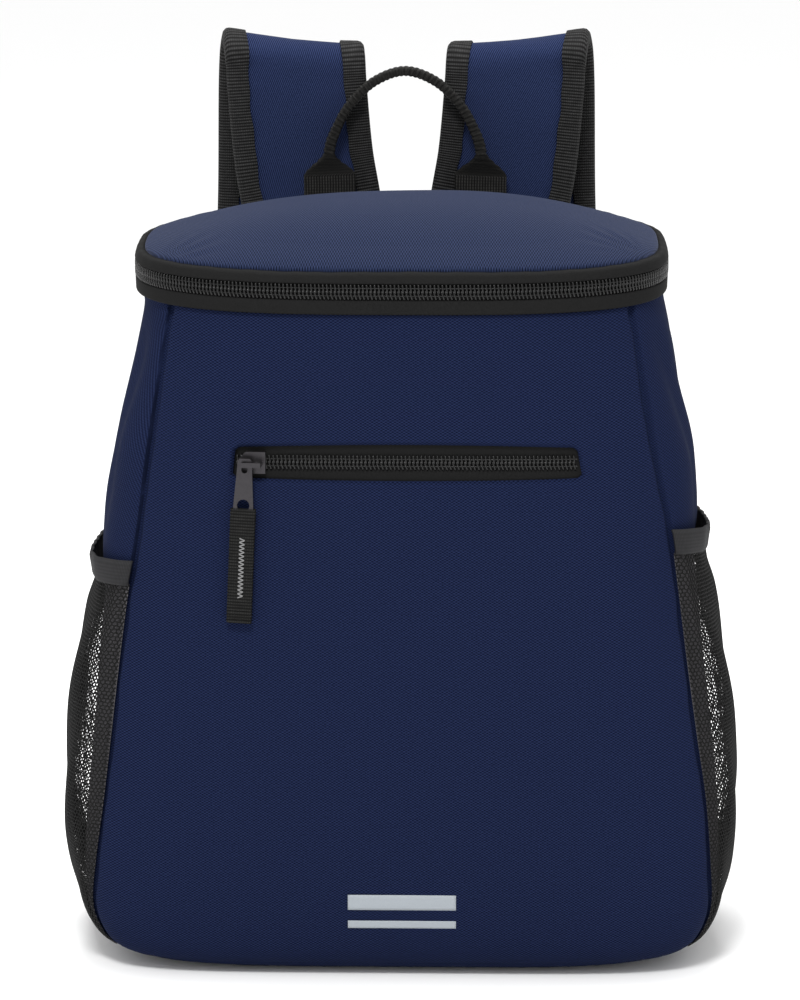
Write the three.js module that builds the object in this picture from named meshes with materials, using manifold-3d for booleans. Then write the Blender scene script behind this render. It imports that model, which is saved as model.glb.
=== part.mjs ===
// A soft cooler backpack: a tapered insulated body under a crowned lid, which a zipper closes
// all the way round its front and sides. It has a flat zipped front pocket with a swinging
// puller, a mesh pocket on each side, two padded shoulder straps and a webbing carry handle.
// Millimetres, +Z up. The front faces -Y and the origin is the middle of the base.

import * as THREE from "three";
import { mergeVertices } from "three/addons/utils/BufferGeometryUtils.js";
import Module from "manifold-3d";

const wasm = await Module();
wasm.setup();

// Body
const body_height = 356; // base to the lower edge of the lid zipper, at the front
const body_half_width = 172; // middle to the widest point of a side
const body_front = 90; // middle to the front face, at the belly
const body_back = 80; // middle to the back wall
const rim_rise = 10; // how much higher the rim lies at the back
const body_wall = 6; // insulated wall
const floor_thickness = 7;
const clearance = 0.3; // gap between pieces that touch

// Front panel and its flat pocket
const panel_wall = 2.6;
const pocket_room = 3.4; // depth of the empty pocket behind the front panel
const panel_first_row = 2; // rows of SECTIONS between which the front panel lies
const panel_last_row = 16;

// Front pocket zipper
const slot_left = 85;
const slot_right = 93.5;
const slot_height = 279; // middle line of the slot
const slot_width = 15.6;
const slot_bow = 1.6; // how much the slot widens in its middle
const tape_wall = 0.9;
const tape_margin = 5; // tape hidden beyond the slot's edge
const tape_depth = panel_wall + 1.5 * clearance; // front face to the tape
const coil_width = 8;
const coil_thickness = 1.9;

// Slider and puller of the front pocket
const slider_length = 12.6;
const slider_plate = 1.2;
const slider_rail = 1.4;
const slider_nose = 2.4;
const slider_left = -2.6; // pivot to the slider's left end
const crown_rise = 5.8; // slider plate to the underside of the crown bar
const tab_stand = 3.5; // slider plate to the back of the tab
const crown_bar = 1.6;
const crown_length = 10;
const pivot_radius = 1;
const pivot_inset = 76.6; // middle of the bag to the crown's left leg
const tab_wall = 1.7;
const tab_length = 26; // pivot to the tab's lower end
const tab_neck_width = 7.4;
const tab_foot_width = 10.4;
const tab_lead = 3.1; // tab beyond the pivot
const tab_hole_radius = 3.3;
const tab_hole_drop = 21.6; // pivot to the middle of the lower hole
const tab_eye_length = 4.6; // upper hole, along the tab
const pull_width = 12.9;
const pull_wall = 1.2; // one layer of the webbing
const pull_top = 23.6; // pivot to the webbing's upper fold
const pull_length = 60;
const pull_lean = 2.5; // degrees, the webbing's foot to the left

// Lid and its zipper band
const band_half_width = 140.5;
const band_front = 85.5;
const band_back = 82;
const lower_tape_height = 7;
const coil_height = 8;
const upper_tape_height = 5;
const band_wall = 2.6;
const band_web = 1.1; // tape behind the coil
const band_steps = 20; // facets from the middle of the front to the middle of the back
const zip_steps = 18; // of these, the ones that the coil runs along
const crown_height = 23; // lid crown above the band's upper edge, halfway back
const lid_wall = 7;
const lid_edge_inset = 1.2;
const lid_shoulder = 1.2; // rounding of the lid's edge
const hinge_gap = 0.2; // steps between the coil's end and the hinge
const lid_slider_depth = 1.9; // band's face to the middle of the parked slider's plate

// Mesh side pockets: left is at -X
const mesh_wall = 1.4;
const elastic_wall = 1.6;
const elastic_height = 12.5;
const pocket_first_row = 3; // row of SECTIONS where the mesh begins
const pocket_belly_row = 7;
const pocket_back_steps = 4; // of back_steps, where a pocket's back edge lies
const POCKETS = {
  left: { side: -1, top: 215.5, front_lift: 9, swell: 15.5, mouth: 5.3 },
  right: { side: 1, top: 227.5, front_lift: 14, swell: 12.5, mouth: 5.8 },
};

// Back panel
const back_pad = 5;
const back_first_row = 4; // rows of SECTIONS between which the back panel lies
const back_last_row = 14;
const back_first_step = 6; // of back_steps, where the back panel's edge lies

// Shoulder straps
const strap_width = 77;
const strap_end_width = 27;
const strap_pad = 7; // padded thickness
const strap_root_pad = 3.4;
const strap_spread = 51; // middle of the bag to a strap's middle, at its root
const strap_lean = 9; // how much further out the strap lies at its fold
const strap_tilt = 6.5; // degrees, the fold's outer end upwards
const strap_flare = 44; // how much further out its lower end lies
const strap_root = body_height - 13; // height where it is sewn to the back
const strap_peel = 38; // height over which it leaves the back
const strap_lift = 7.4; // how far it has come off by then
const strap_stand = 10; // how far off it runs above the lid
const strap_fold_top = body_height + 124.5; // height of the strap's upper fold, at its middle
const strap_fold_radius = 12.5;
const strap_bow = 44; // back wall to the middle of the rear run
const strap_end = body_height - 184; // height of the strap's lower end
const binding_width = 12.5;
const binding_wall = 1;

// Lower strap hardware
const web_width = 25;
const web_wall = 1.8;
const lock_width = 34;
const lock_height = 30;
const lock_bar = 4;
const lock_wall = 5;
const loop_length = 20; // webbing loop that holds the buckle, up the strap's end
const web_tail = 46; // loose end of the adjuster webbing
const anchor_spread = 131; // middle of the bag to the middle of an anchor
const anchor_foot = 24;
const anchor_tall = 34;
const anchor_width = 26;
const anchor_wall = 2;
const lock_drop = 6; // strap's end to the buckle's top bar

// Carry handle
const handle_spread = 41.5; // middle of the bag to a handle end
const handle_base_width = 28.6;
const handle_wall = 2.4;
const handle_root = body_height - 10;
const handle_climb = 30; // height over which it comes out past the lid's band
const handle_flare_top = body_height + 44;
const handle_neck = body_height + 65;
const handle_top = body_height + 108; // height of the handle's middle line at its top
const handle_fold_width = 10; // folded webbing, front to back
const handle_fold_wall = 5.2;

// Reflective accent
const accent_middle = 1.8; // the accent's middle, to the right of the bag's middle
const accent_width = 57;
const accent_wall = 0.4;
const ACCENT_BARS = { upper: { height: 43.6, tall: 8.4 }, lower: { height: 31.2, tall: 4.2 } };

// Sections of the body from base to rim. Heights are shares of body_height, half-widths of
// body_half_width, and front and back of body_front and body_back. seam is where the front
// panel ends, and square and back_square say how boxy the corners are.
const COLUMNS = ["height", "seam_left", "seam_right", "left", "right", "front", "back", "square", "back_square"];
const SECTIONS = [
  [0.0, 0.6, 0.61, 0.64, 0.65, 0.72, 0.72, 5.0, 5.0],
  [0.006, 0.705, 0.715, 0.75, 0.755, 0.8, 0.82, 5.2, 5.0],
  [0.014, 0.79, 0.8, 0.835, 0.84, 0.86, 0.89, 5.5, 5.0],
  [0.03, 0.87, 0.885, 0.905, 0.915, 0.92, 0.945, 6.0, 5.0],
  [0.052, 0.915, 0.93, 0.945, 0.955, 0.955, 0.975, 6.5, 5.0],
  [0.1, 0.946, 0.962, 0.975, 0.985, 0.985, 1.0, 7.5, 5.0],
  [0.175, 0.933, 0.957, 0.98, 0.99, 1.0, 1.0, 7.5, 5.0],
  [0.27, 0.905, 0.94, 0.966, 0.982, 1.0, 1.0, 7.0, 5.0],
  [0.365, 0.88, 0.91, 0.948, 0.962, 0.998, 1.0, 6.6, 5.0],
  [0.475, 0.852, 0.877, 0.93, 0.935, 0.994, 1.0, 6.0, 5.0],
  [0.58, 0.822, 0.848, 0.912, 0.914, 0.99, 1.0, 5.4, 5.0],
  [0.625, 0.804, 0.835, 0.921, 0.904, 0.988, 1.0, 5.1, 5.0],
  [0.675, 0.786, 0.82, 0.912, 0.912, 0.985, 1.0, 4.9, 4.9],
  [0.775, 0.757, 0.775, 0.877, 0.893, 0.973, 1.0, 4.4, 4.7],
  [0.875, 0.728, 0.738, 0.832, 0.852, 0.957, 1.0, 3.8, 4.3],
  [0.955, 0.703, 0.711, 0.798, 0.82, 0.942, 0.995, 3.3, 3.7],
  [0.986, 0.691, 0.698, 0.791, 0.806, 0.93, 0.99, 3.1, 3.3],
  [1.0, 0.689, 0.696, 0.802, 0.806, 0.922, 0.99, 3.0, 3.2],
].map((row) => Object.fromEntries(COLUMNS.map((name, i) => [name, row[i]])));
const band_square = 3; // the same for the lid's band, in front
const band_back_square = 3.2;
const seam_gap_turn = 0.004; // the side starts this much of a quarter behind the seam

// Facets
const rings_of_interior = 9;
const front_steps = 12;
const corner_steps = 4;
const back_steps = 9;
const pocket_rows = 6;

const v3 = (x, y, z) => new THREE.Vector3(x, y, z);
const v2 = (x, y) => new THREE.Vector2(x, y);
const mix = THREE.MathUtils.lerp;
const smooth = (from, to, at) => THREE.MathUtils.smoothstep(at, from, to);
const steps = (count) => Array.from({ length: count + 1 }, (_, i) => i / count);

const colours = {
  canvas: { color: 0x1f2b57, roughness: 0.85, metalness: 0 },
  lid_canvas: { color: 0x2b3768, roughness: 0.85, metalness: 0 },
  webbing: { color: 0x1c1c1e, roughness: 0.8, metalness: 0 },
  zip_tape: { color: 0x202022, roughness: 0.75, metalness: 0 },
  zip_coil: { color: 0x18181a, roughness: 0.45, metalness: 0 },
  mesh: { color: 0x3a3a3d, roughness: 0.8, metalness: 0 },
  gunmetal: { color: 0x4c484c, roughness: 0.35, metalness: 0.9 },
  reflective: { color: 0xb9c1cb, roughness: 0.4, metalness: 0 },
  buckle: { color: 0x161617, roughness: 0.45, metalness: 0 },
};
const material = (name) => new THREE.MeshStandardMaterial(colours[name]);

// The solid bounded by these faces, turned so that they point out.
function solid(points, faces) {
  let volume = 0;
  for (const [a, b, c] of faces) volume += points[a].dot(v3().crossVectors(points[b], points[c]));
  const turned = volume < 0 ? faces.map(([a, b, c]) => [a, c, b]) : faces;
  const geometry = new THREE.BufferGeometry().setFromPoints(points);
  geometry.setIndex(turned.flat());
  return geometry;
}

const quad = (a, b, c, d) => [
  [a, b, c],
  [a, c, d],
];

// A body through rings of points with as many points each. flats are the two end rings as
// seen square on, which are filled in; without them the last ring meets the first.
function loft(rings, flats = null) {
  const count = rings[0].length;
  const faces = [];
  const spans = flats ? rings.length - 1 : rings.length;
  for (let r = 0; r < spans; r++) {
    const here = r * count;
    const next = ((r + 1) % rings.length) * count;
    for (let i = 0; i < count; i++) {
      const j = (i + 1) % count;
      faces.push(...quad(here + i, here + j, next + j, next + i));
    }
  }
  if (flats) {
    const last = (rings.length - 1) * count;
    const start = THREE.ShapeUtils.triangulateShape(flats[0], []);
    const end = THREE.ShapeUtils.triangulateShape(flats[1], []);
    const clockwise = (flat) => THREE.ShapeUtils.isClockWise(flat);
    for (const [a, b, c] of start) faces.push(clockwise(flats[0]) ? [a, b, c] : [a, c, b]);
    for (const [a, b, c] of end) {
      const [p, q, r] = clockwise(flats[1]) ? [a, c, b] : [a, b, c];
      faces.push([last + p, last + q, last + r]);
    }
  }
  return solid(rings.flat(), faces);
}

// A thin body between two grids of points, closed along its four edges.
function sheet(outer, inner) {
  const rows = outer.length - 1;
  const columns = outer[0].length - 1;
  const o = (r, c) => r * (columns + 1) + c;
  const k = (r, c) => (rows + 1) * (columns + 1) + o(r, c);
  const faces = [];
  for (let r = 0; r < rows; r++) {
    for (let c = 0; c < columns; c++) {
      faces.push(...quad(o(r, c), o(r, c + 1), o(r + 1, c + 1), o(r + 1, c)));
      faces.push(...quad(k(r, c), k(r + 1, c), k(r + 1, c + 1), k(r, c + 1)));
    }
    faces.push(...quad(o(r, 0), o(r + 1, 0), k(r + 1, 0), k(r, 0)));
    faces.push(...quad(o(r + 1, columns), o(r, columns), k(r, columns), k(r + 1, columns)));
  }
  for (let c = 0; c < columns; c++) {
    faces.push(...quad(o(0, c + 1), o(0, c), k(0, c), k(0, c + 1)));
    faces.push(...quad(o(rows, c), o(rows, c + 1), k(rows, c + 1), k(rows, c)));
  }
  return solid([...outer.flat(), ...inner.flat()], faces);
}

// A section swept along stations, each of which has a place and two directions.
function sweep(stations, sectionAt, joined = false) {
  const sections = stations.map(sectionAt);
  const rings = stations.map((station, i) =>
    sections[i].map((p) =>
      station.at.clone().addScaledVector(station.across, p.x).addScaledVector(station.out, p.y),
    ),
  );
  return loft(rings, joined ? null : [sections[0], sections[sections.length - 1]]);
}

// Joining and cutting
function toManifold(geometry) {
  const bare = geometry.clone();
  bare.deleteAttribute("normal");
  bare.deleteAttribute("uv");
  const merged = mergeVertices(bare, 1e-4);
  const vertProperties = new Float32Array(merged.attributes.position.array);
  const triVerts = new Uint32Array(merged.index.array);
  return new wasm.Manifold(new wasm.Mesh({ numProp: 3, vertProperties, triVerts }));
}

function fromManifold(made) {
  const mesh = made.getMesh();
  const geometry = new THREE.BufferGeometry();
  geometry.setAttribute("position", new THREE.BufferAttribute(mesh.vertProperties, 3));
  geometry.setIndex(new THREE.BufferAttribute(mesh.triVerts, 1));
  return geometry;
}

const cut = (whole, ...tools) =>
  fromManifold(tools.reduce((left, tool) => left.subtract(toManifold(tool)), toManifold(whole)));

const join = (...parts) => fromManifold(parts.map(toManifold).reduce((all, part) => all.add(part)));

// A plate of an outline drawn in X and Z, from the depth near to the depth far along Y.
function plate(outline, near, far, curve_steps = 8) {
  const geometry = new THREE.ExtrudeGeometry(outline, {
    depth: far - near,
    bevelEnabled: false,
    curveSegments: curve_steps,
  });
  geometry.rotateX(Math.PI / 2);
  geometry.translate(0, far, 0);
  return geometry;
}

// One column of SECTIONS at a share of the body's height, on a smooth curve through its rows.
function column(name, share) {
  const last = SECTIONS.length - 1;
  let i = 0;
  while (i < last - 1 && share > SECTIONS[i + 1].height) i++;
  const slope = (k) => {
    const before = SECTIONS[Math.max(k - 1, 0)];
    const after = SECTIONS[Math.min(k + 1, last)];
    return (after[name] - before[name]) / (after.height - before.height);
  };
  const a = SECTIONS[i];
  const b = SECTIONS[i + 1];
  const span = b.height - a.height;
  const t = THREE.MathUtils.clamp((share - a.height) / span, 0, 1);
  const [t2, t3] = [t * t, t * t * t];
  return (
    (2 * t3 - 3 * t2 + 1) * a[name] +
    (t3 - 2 * t2 + t) * span * slope(i) +
    (3 * t2 - 2 * t3) * b[name] +
    (t3 - t2) * span * slope(i + 1)
  );
}

// The body's section at a share of its height.
function section(share) {
  return {
    share,
    seam_left: column("seam_left", share) * body_half_width,
    seam_right: column("seam_right", share) * body_half_width,
    left: column("left", share) * body_half_width,
    right: column("right", share) * body_half_width,
    front: column("front", share) * body_front,
    back: column("back", share) * body_back,
    square: column("square", share),
    back_square: column("back_square", share),
  };
}

// A point of a rounded quarter and the direction out of it: turn runs from the X end to the Y end.
function quarter(half_x, half_y, square, turn) {
  const angle = (Math.PI / 4) * (1 - Math.cos(Math.PI * turn));
  const c = Math.max(Math.cos(angle), 0);
  const s = Math.max(Math.sin(angle), 0);
  const x = half_x * c ** (2 / square);
  const y = half_y * s ** (2 / square);
  const out = v2((x / half_x) ** (square - 1) / half_x, (y / half_y) ** (square - 1) / half_y);
  return { x, y, out: out.normalize() };
}

// The turn at which that quarter has this x.
function turnAt(half_x, square, x) {
  const angle = Math.acos(Math.min(x / half_x, 1) ** (square / 2));
  return Math.acos(1 - (4 * angle) / Math.PI) / Math.PI;
}

// Half-width of a section on one side at a depth y.
function sideAt(level, side, y) {
  const half = side < 0 ? level.left : level.right;
  const depth = y < 0 ? level.front : level.back;
  const square = y < 0 ? level.square : level.back_square;
  return half * Math.max(1 - Math.abs(y / depth) ** square, 0) ** (1 / square);
}

// Direction straight out of a side at a depth y.
function sideOut(level, side, y) {
  const half = side < 0 ? level.left : level.right;
  const depth = y < 0 ? level.front : level.back;
  const square = y < 0 ? level.square : level.back_square;
  const x = sideAt(level, side, y);
  const out = v3(
    (side * (x / half) ** (square - 1)) / half,
    (Math.sign(y) * Math.abs(y / depth) ** (square - 1)) / depth,
    0,
  );
  return out.normalize();
}

// The front face of a section at x, and the direction out of it.
function frontAt(level, x) {
  const half = x < 0 ? level.left : level.right;
  const y = -level.front * Math.max(1 - Math.abs(x / half) ** level.square, 0) ** (1 / level.square);
  const out = v3(
    (Math.sign(x) * Math.abs(x / half) ** (level.square - 1)) / half,
    -(Math.abs(y / level.front) ** (level.square - 1)) / level.front,
    0,
  );
  return { at: v3(x, y, level.share * body_height + rise(level.share, y)), out: out.normalize() };
}

const shareAt = (height) => height / body_height;
const rise = (share, y) => rim_rise * share ** 3 * ((y + body_front) / (body_front + body_back));
const frontSpot = (x, height) => frontAt(section(shareAt(height)), x);

// A section's whole ring: the front from seam to seam, then round the right, back and left.
// inset moves all of it in, and front_inset gives how much further the front lies in.
function ring(level, front_inset, inset) {
  const points = [];
  for (const t of steps(front_steps)) {
    const x = mix(-level.seam_left, level.seam_right, t);
    const spot = frontAt(level, x);
    points.push(spot.at.addScaledVector(spot.out, -(inset + front_inset(x, level))));
  }
  const rightHalf = roundSide(level, 1, inset);
  const leftHalf = roundSide(level, -1, inset).reverse();
  points.push(...rightHalf, ...leftHalf.slice(1));
  return points;
}

// One side of a ring, from just behind the seam to the middle of the back.
function roundSide(level, side, inset) {
  const half = side < 0 ? level.left : level.right;
  const seam = side < 0 ? level.seam_left : level.seam_right;
  const first = turnAt(half, level.square, seam) - seam_gap_turn;
  const points = [];
  const place = (q, way) => {
    const height = level.share * body_height + rise(level.share, way * q.y);
    points.push(v3(side * (q.x - q.out.x * inset), way * (q.y - q.out.y * inset), height));
  };
  for (const t of steps(corner_steps)) {
    place(quarter(half, level.front, level.square, first * (1 - t)), -1);
  }
  for (const t of steps(back_steps).slice(1)) {
    place(quarter(half, level.back, level.back_square, t), 1);
  }
  return points;
}

// How far the wall behind the front panel dishes in to leave the empty pocket its room.
function pocketDish(x, level) {
  const seam = x < 0 ? level.seam_left : level.seam_right;
  const sideways = smooth(0, 0.35, 1 - Math.abs(x) / seam);
  const upwards = smooth(0.02, 0.2, level.share) * (1 - smooth(0.86, 1, level.share));
  return panel_wall + clearance + pocket_room * sideways * upwards;
}

function bodyShell() {
  const outside = SECTIONS.map((row) => ring(section(row.height), pocketDish, 0));
  const floor_share = shareAt(floor_thickness);
  const inside = steps(rings_of_interior)
    .map((t) => mix(1, floor_share, t ** 0.7))
    .map((share) => ring(section(share), pocketDish, body_wall));
  const rings = [...outside, ...inside];
  const flat = (points) => points.map((p) => v2(p.x, p.y));
  return loft(rings, [flat(rings[0]), flat(rings[rings.length - 1])]);
}

function frontPanel() {
  const rows = SECTIONS.slice(panel_first_row, panel_last_row + 1);
  const levels = rows.map((row) => section(row.height));
  const grid = (depth) =>
    levels.map((level) =>
      steps(front_steps).map((t) => {
        const spot = frontAt(level, mix(-level.seam_left, level.seam_right, t));
        return spot.at.addScaledVector(spot.out, -depth);
      }),
    );
  return cut(sheet(grid(0), grid(panel_wall)), plate(slotOutline(0), -body_front - 20, 0));
}

// The zipper slot seen from the front, grown by a margin, with its long edges bowed.
function slotOutline(margin) {
  const half = slot_width / 2 + margin;
  const left = -slot_left - margin;
  const right = slot_right + margin;
  const middle = (left + right) / 2;
  const corner = half * 0.35;
  const outline = new THREE.Shape();
  outline.moveTo(left, slot_height - half + corner);
  outline.quadraticCurveTo(left, slot_height - half, left + corner, slot_height - half);
  outline.quadraticCurveTo(middle, slot_height - half - 2 * slot_bow, right - corner, slot_height - half);
  outline.quadraticCurveTo(right, slot_height - half, right, slot_height - half + corner);
  outline.lineTo(right, slot_height + half - corner);
  outline.quadraticCurveTo(right, slot_height + half, right - corner, slot_height + half);
  outline.quadraticCurveTo(middle, slot_height + half + 2 * slot_bow, left + corner, slot_height + half);
  outline.quadraticCurveTo(left, slot_height + half, left, slot_height + half - corner);
  outline.closePath();
  return outline;
}

// The faceted front face at x and a height, and the direction out of it.
function panelSpot(x, height) {
  const { a, b, way } = rowsAt(height);
  const faceted = (level) => {
    const across = ((x + level.seam_left) / (level.seam_left + level.seam_right)) * front_steps;
    const step = Math.min(Math.floor(across), front_steps - 1);
    const at = (k) => frontAt(level, mix(-level.seam_left, level.seam_right, k / front_steps)).at;
    return mix(at(step).y, at(step + 1).y, across - step);
  };
  return { at: v3(x, mix(faceted(a), faceted(b), way), height), out: frontSpot(x, height).out };
}

// A strip that follows the front face between two depths behind it.
function frontStrip(left, right, foot, head, near, far, columns = 16) {
  const grid = (depth) =>
    steps(2).map((u) =>
      steps(columns).map((t) => {
        const spot = panelSpot(mix(left, right, t), mix(foot, head, u));
        return spot.at.addScaledVector(spot.out, -depth);
      }),
    );
  return sheet(grid(near), grid(far));
}

function pocketZipTape() {
  const half = slot_width / 2 + tape_margin;
  return frontStrip(
    -slot_left - tape_margin,
    slot_right + tape_margin,
    slot_height - half,
    slot_height + half,
    tape_depth,
    tape_depth + tape_wall,
  );
}

// The coil lies on the tape, inside the slot.
function pocketZipCoil() {
  const stations = steps(22).map((t) => {
    const x = mix(-slot_left + 1.5, slot_right - 1, t);
    const spot = frontSpot(x, slot_height);
    return {
      at: spot.at.addScaledVector(spot.out, -(tape_depth - clearance)),
      across: v3(0, 0, 1),
      out: spot.out,
    };
  });
  const half = coil_width / 2;
  const shape = [
    v2(-half, 0),
    v2(-half, coil_thickness * 0.6),
    v2(-half * 0.6, coil_thickness),
    v2(half * 0.6, coil_thickness),
    v2(half, coil_thickness * 0.6),
    v2(half, 0),
  ];
  return sweep(stations, () => shape);
}

// The slider hangs in its own frame: X along the zipper, Z up, -Y out of the face, and the
// origin on the axis of the crown's left leg, where the coil's front face lies.
const slider_group = new THREE.Group();
const pivot_spot = frontSpot(-pivot_inset - 2, slot_height);
slider_group.position.copy(
  pivot_spot.at.clone().addScaledVector(pivot_spot.out, -(tape_depth - clearance - coil_thickness)),
);
slider_group.rotation.z = Math.atan2(pivot_spot.out.y, pivot_spot.out.x) + Math.PI / 2;

const plate_face = -(clearance + slider_plate);

function boxAt(x0, x1, y0, y1, z0, z1) {
  const geometry = new THREE.BoxGeometry(x1 - x0, y1 - y0, z1 - z0);
  return geometry.translate((x0 + x1) / 2, (y0 + y1) / 2, (z0 + z1) / 2);
}

// The plate with its two rails, and the crown: two legs under a bar.
function pocketSlider() {
  const half = coil_width / 2 + clearance + slider_rail;
  const outline = new THREE.Shape();
  outline.moveTo(slider_left, -half + slider_nose);
  outline.lineTo(slider_left + slider_nose, -half);
  outline.lineTo(slider_left + slider_length, -half);
  outline.lineTo(slider_left + slider_length, half);
  outline.lineTo(slider_left + slider_nose, half);
  outline.lineTo(slider_left, half - slider_nose);
  outline.closePath();
  const face = plate(outline, plate_face, -clearance);
  const rails = [-1, 1].map((side) => {
    const low = Math.min(side * (half - slider_rail), side * half);
    const [x0, x1] = [slider_left + slider_nose, slider_left + slider_length];
    return boxAt(x0, x1, -2 * clearance, coil_thickness - clearance, low, low + slider_rail);
  });
  const bar_near = plate_face - crown_rise - crown_bar;
  const bar_far = plate_face - crown_rise;
  const bar_half = crown_bar * 0.8;
  const leg_end = crown_length - crown_bar;
  const leg = new THREE.CylinderGeometry(pivot_radius, pivot_radius, crown_rise + 1, 12);
  leg.translate(0, plate_face - crown_rise / 2, 0);
  const sunk = plate_face + slider_plate / 2;
  const far_leg = boxAt(leg_end - crown_bar, leg_end, bar_far - 0.5, sunk, -bar_half, bar_half);
  const bar = boxAt(-crown_bar, leg_end, bar_near, bar_far, -bar_half, bar_half);
  return join(face, ...rails, leg, far_leg, bar);
}

const tab_far = plate_face - tab_stand;
const tab_near = tab_far - tab_wall;

// A flat metal tab: its upper hole is round the crown's leg, its lower one holds the webbing.
function pullTab() {
  const neck = tab_neck_width / 2;
  const foot = tab_foot_width / 2;
  const outline = new THREE.Shape();
  outline.moveTo(-neck * 0.55, tab_lead);
  outline.quadraticCurveTo(-neck, tab_lead, -neck, tab_lead - neck * 0.7);
  outline.lineTo(-foot, -tab_length + foot * 0.7);
  outline.quadraticCurveTo(-foot, -tab_length, -foot * 0.45, -tab_length);
  outline.lineTo(foot * 0.45, -tab_length);
  outline.quadraticCurveTo(foot, -tab_length, foot, -tab_length + foot * 0.7);
  outline.lineTo(neck, tab_lead - neck * 0.7);
  outline.quadraticCurveTo(neck, tab_lead, neck * 0.55, tab_lead);
  outline.closePath();
  const eye = new THREE.Path();
  const eye_radius = pivot_radius + 2 * clearance;
  eye.absarc(0, 0, eye_radius, 0, Math.PI, false);
  eye.absarc(0, eye_radius - tab_eye_length, eye_radius, Math.PI, 2 * Math.PI, false);
  eye.closePath();
  const hole = new THREE.Path().absarc(0, -tab_hole_drop, tab_hole_radius, 0, 2 * Math.PI, true);
  outline.holes.push(eye, hole);
  return plate(outline, tab_near, tab_far, 6);
}

// Webbing folded through the tab's lower hole and stitched to itself below.
function pullWeb() {
  const half = pull_width / 2;
  const front_near = tab_near - clearance - pull_wall;
  const back_far = tab_far + clearance + pull_wall;
  const middle = (front_near + back_far) / 2;
  const foot = -pull_top - pull_length;
  const join_at = -tab_length - clearance;
  const layer = (near, far, top) => boxAt(-half, half, near, far, foot, top);
  const front = layer(front_near, front_near + pull_wall, -pull_top);
  const back = layer(back_far - pull_wall, back_far, -pull_top);
  const core = layer(front_near + 0.2, back_far - 0.2, join_at - 1);
  const neck_half = tab_hole_radius * 0.62;
  const neck_top = -tab_hole_drop - 0.9;
  const neck_foot = -tab_hole_drop - tab_hole_radius * 0.72;
  const neck = boxAt(-neck_half, neck_half, front_near + 0.2, back_far - 0.2, neck_foot, neck_top);
  const thin = boxAt(-half - 1, half + 1, middle + 1.7, back_far + 5, foot - 1, join_at - 8);
  return cut(join(front, back, core, neck), thin);
}

// The band round the lid: turn 0 is the middle of the front, 1 the middle of the back.
const band_foot = body_height + clearance;
const band_top = band_foot + lower_tape_height + coil_height + upper_tape_height + 2 * clearance;

function bandSpot(side, turn) {
  const corner_turn = 2 * turn - 1;
  const front = corner_turn < 0;
  const q = front
    ? quarter(band_half_width, band_front, band_square, -corner_turn)
    : quarter(band_half_width, band_back, band_back_square, corner_turn);
  const sign = front ? -1 : 1;
  const at = v3(side * q.x, sign * q.y, rise(1, sign * q.y));
  return { at, across: v3(0, 0, 1), out: v3(side * q.out.x, sign * q.out.y, 0) };
}

// Stations round the band, on each side from the middle of the front as far as a step.
function bandStations(last) {
  const side = (sign) => steps(last).map((t) => bandSpot(sign, (t * last) / band_steps));
  const left = side(-1).slice(1).reverse();
  return last < band_steps ? [...left, ...side(1)] : [...left.slice(1), ...side(1)];
}

// A strip along the band. Its section has heights and, from the band's face out, depths.
const bandPiece = (last, shape) => sweep(bandStations(last), () => shape, last === band_steps);

const coil_foot = band_foot + lower_tape_height + clearance;
const coil_head = coil_foot + coil_height;
const web_split = (coil_foot + coil_head) / 2;

function lidTapeLower() {
  return bandPiece(band_steps, [
    v2(band_foot, -band_wall),
    v2(band_foot, -0.4),
    v2(band_foot + 1, 0),
    v2(coil_foot - clearance, 0),
    v2(coil_foot - clearance, -band_wall + band_web),
    v2(web_split - clearance / 2, -band_wall + band_web),
    v2(web_split - clearance / 2, -band_wall),
  ]);
}

function lidTapeUpper() {
  return bandPiece(band_steps, [
    v2(web_split + clearance / 2, -band_wall),
    v2(web_split + clearance / 2, -band_wall + band_web),
    v2(coil_head + clearance, -band_wall + band_web),
    v2(coil_head + clearance, 0.2),
    v2((coil_head + band_top) / 2, 1),
    v2(band_top, 0.1),
    v2(band_top, -band_wall),
  ]);
}

function lidZipCoil() {
  const near = -band_wall + band_web + clearance;
  return bandPiece(zip_steps, [
    v2(coil_foot, near),
    v2(coil_foot, 0.1),
    v2(coil_foot + coil_height * 0.25, 0.8),
    v2(coil_head - coil_height * 0.25, 0.8),
    v2(coil_head, 0.1),
    v2(coil_head, near),
  ]);
}

// The strip of cloth on which the lid swings, where the coil leaves off.
function lidHinge() {
  const near = -band_wall + band_web + clearance;
  const arc = steps(2).map((t) => mix(zip_steps + hinge_gap, band_steps, t) / band_steps);
  const right = arc.map((turn) => bandSpot(1, turn));
  const left = arc.slice(0, -1).map((turn) => bandSpot(-1, turn));
  const stations = [...right, ...left.reverse()];
  return sweep(stations, () => [
    v2(coil_foot, near),
    v2(coil_foot, 0),
    v2(coil_head, 0),
    v2(coil_head, near),
  ]);
}

// A plain slider parked at the coil's end on the right, behind the corner.
function lidSlider() {
  const spot = bandSpot(1, (zip_steps - 1) / band_steps);
  const along = v3().crossVectors(spot.across, spot.out);
  const stations = [-1, 1].map((way) => ({
    at: spot.at.clone().addScaledVector(along, (way * slider_length) / 2),
    across: spot.across,
    out: spot.out,
  }));
  const [low, high] = [coil_foot - slider_rail, coil_head + slider_rail];
  const [near, far] = [lid_slider_depth - slider_plate / 2, lid_slider_depth + slider_plate / 2];
  return sweep(stations, () => [
    v2(low + slider_plate, near),
    v2(low, lid_slider_depth),
    v2(low + slider_plate, far),
    v2(high - slider_plate, far),
    v2(high, lid_slider_depth),
    v2(high - slider_plate, near),
  ]);
}

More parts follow.
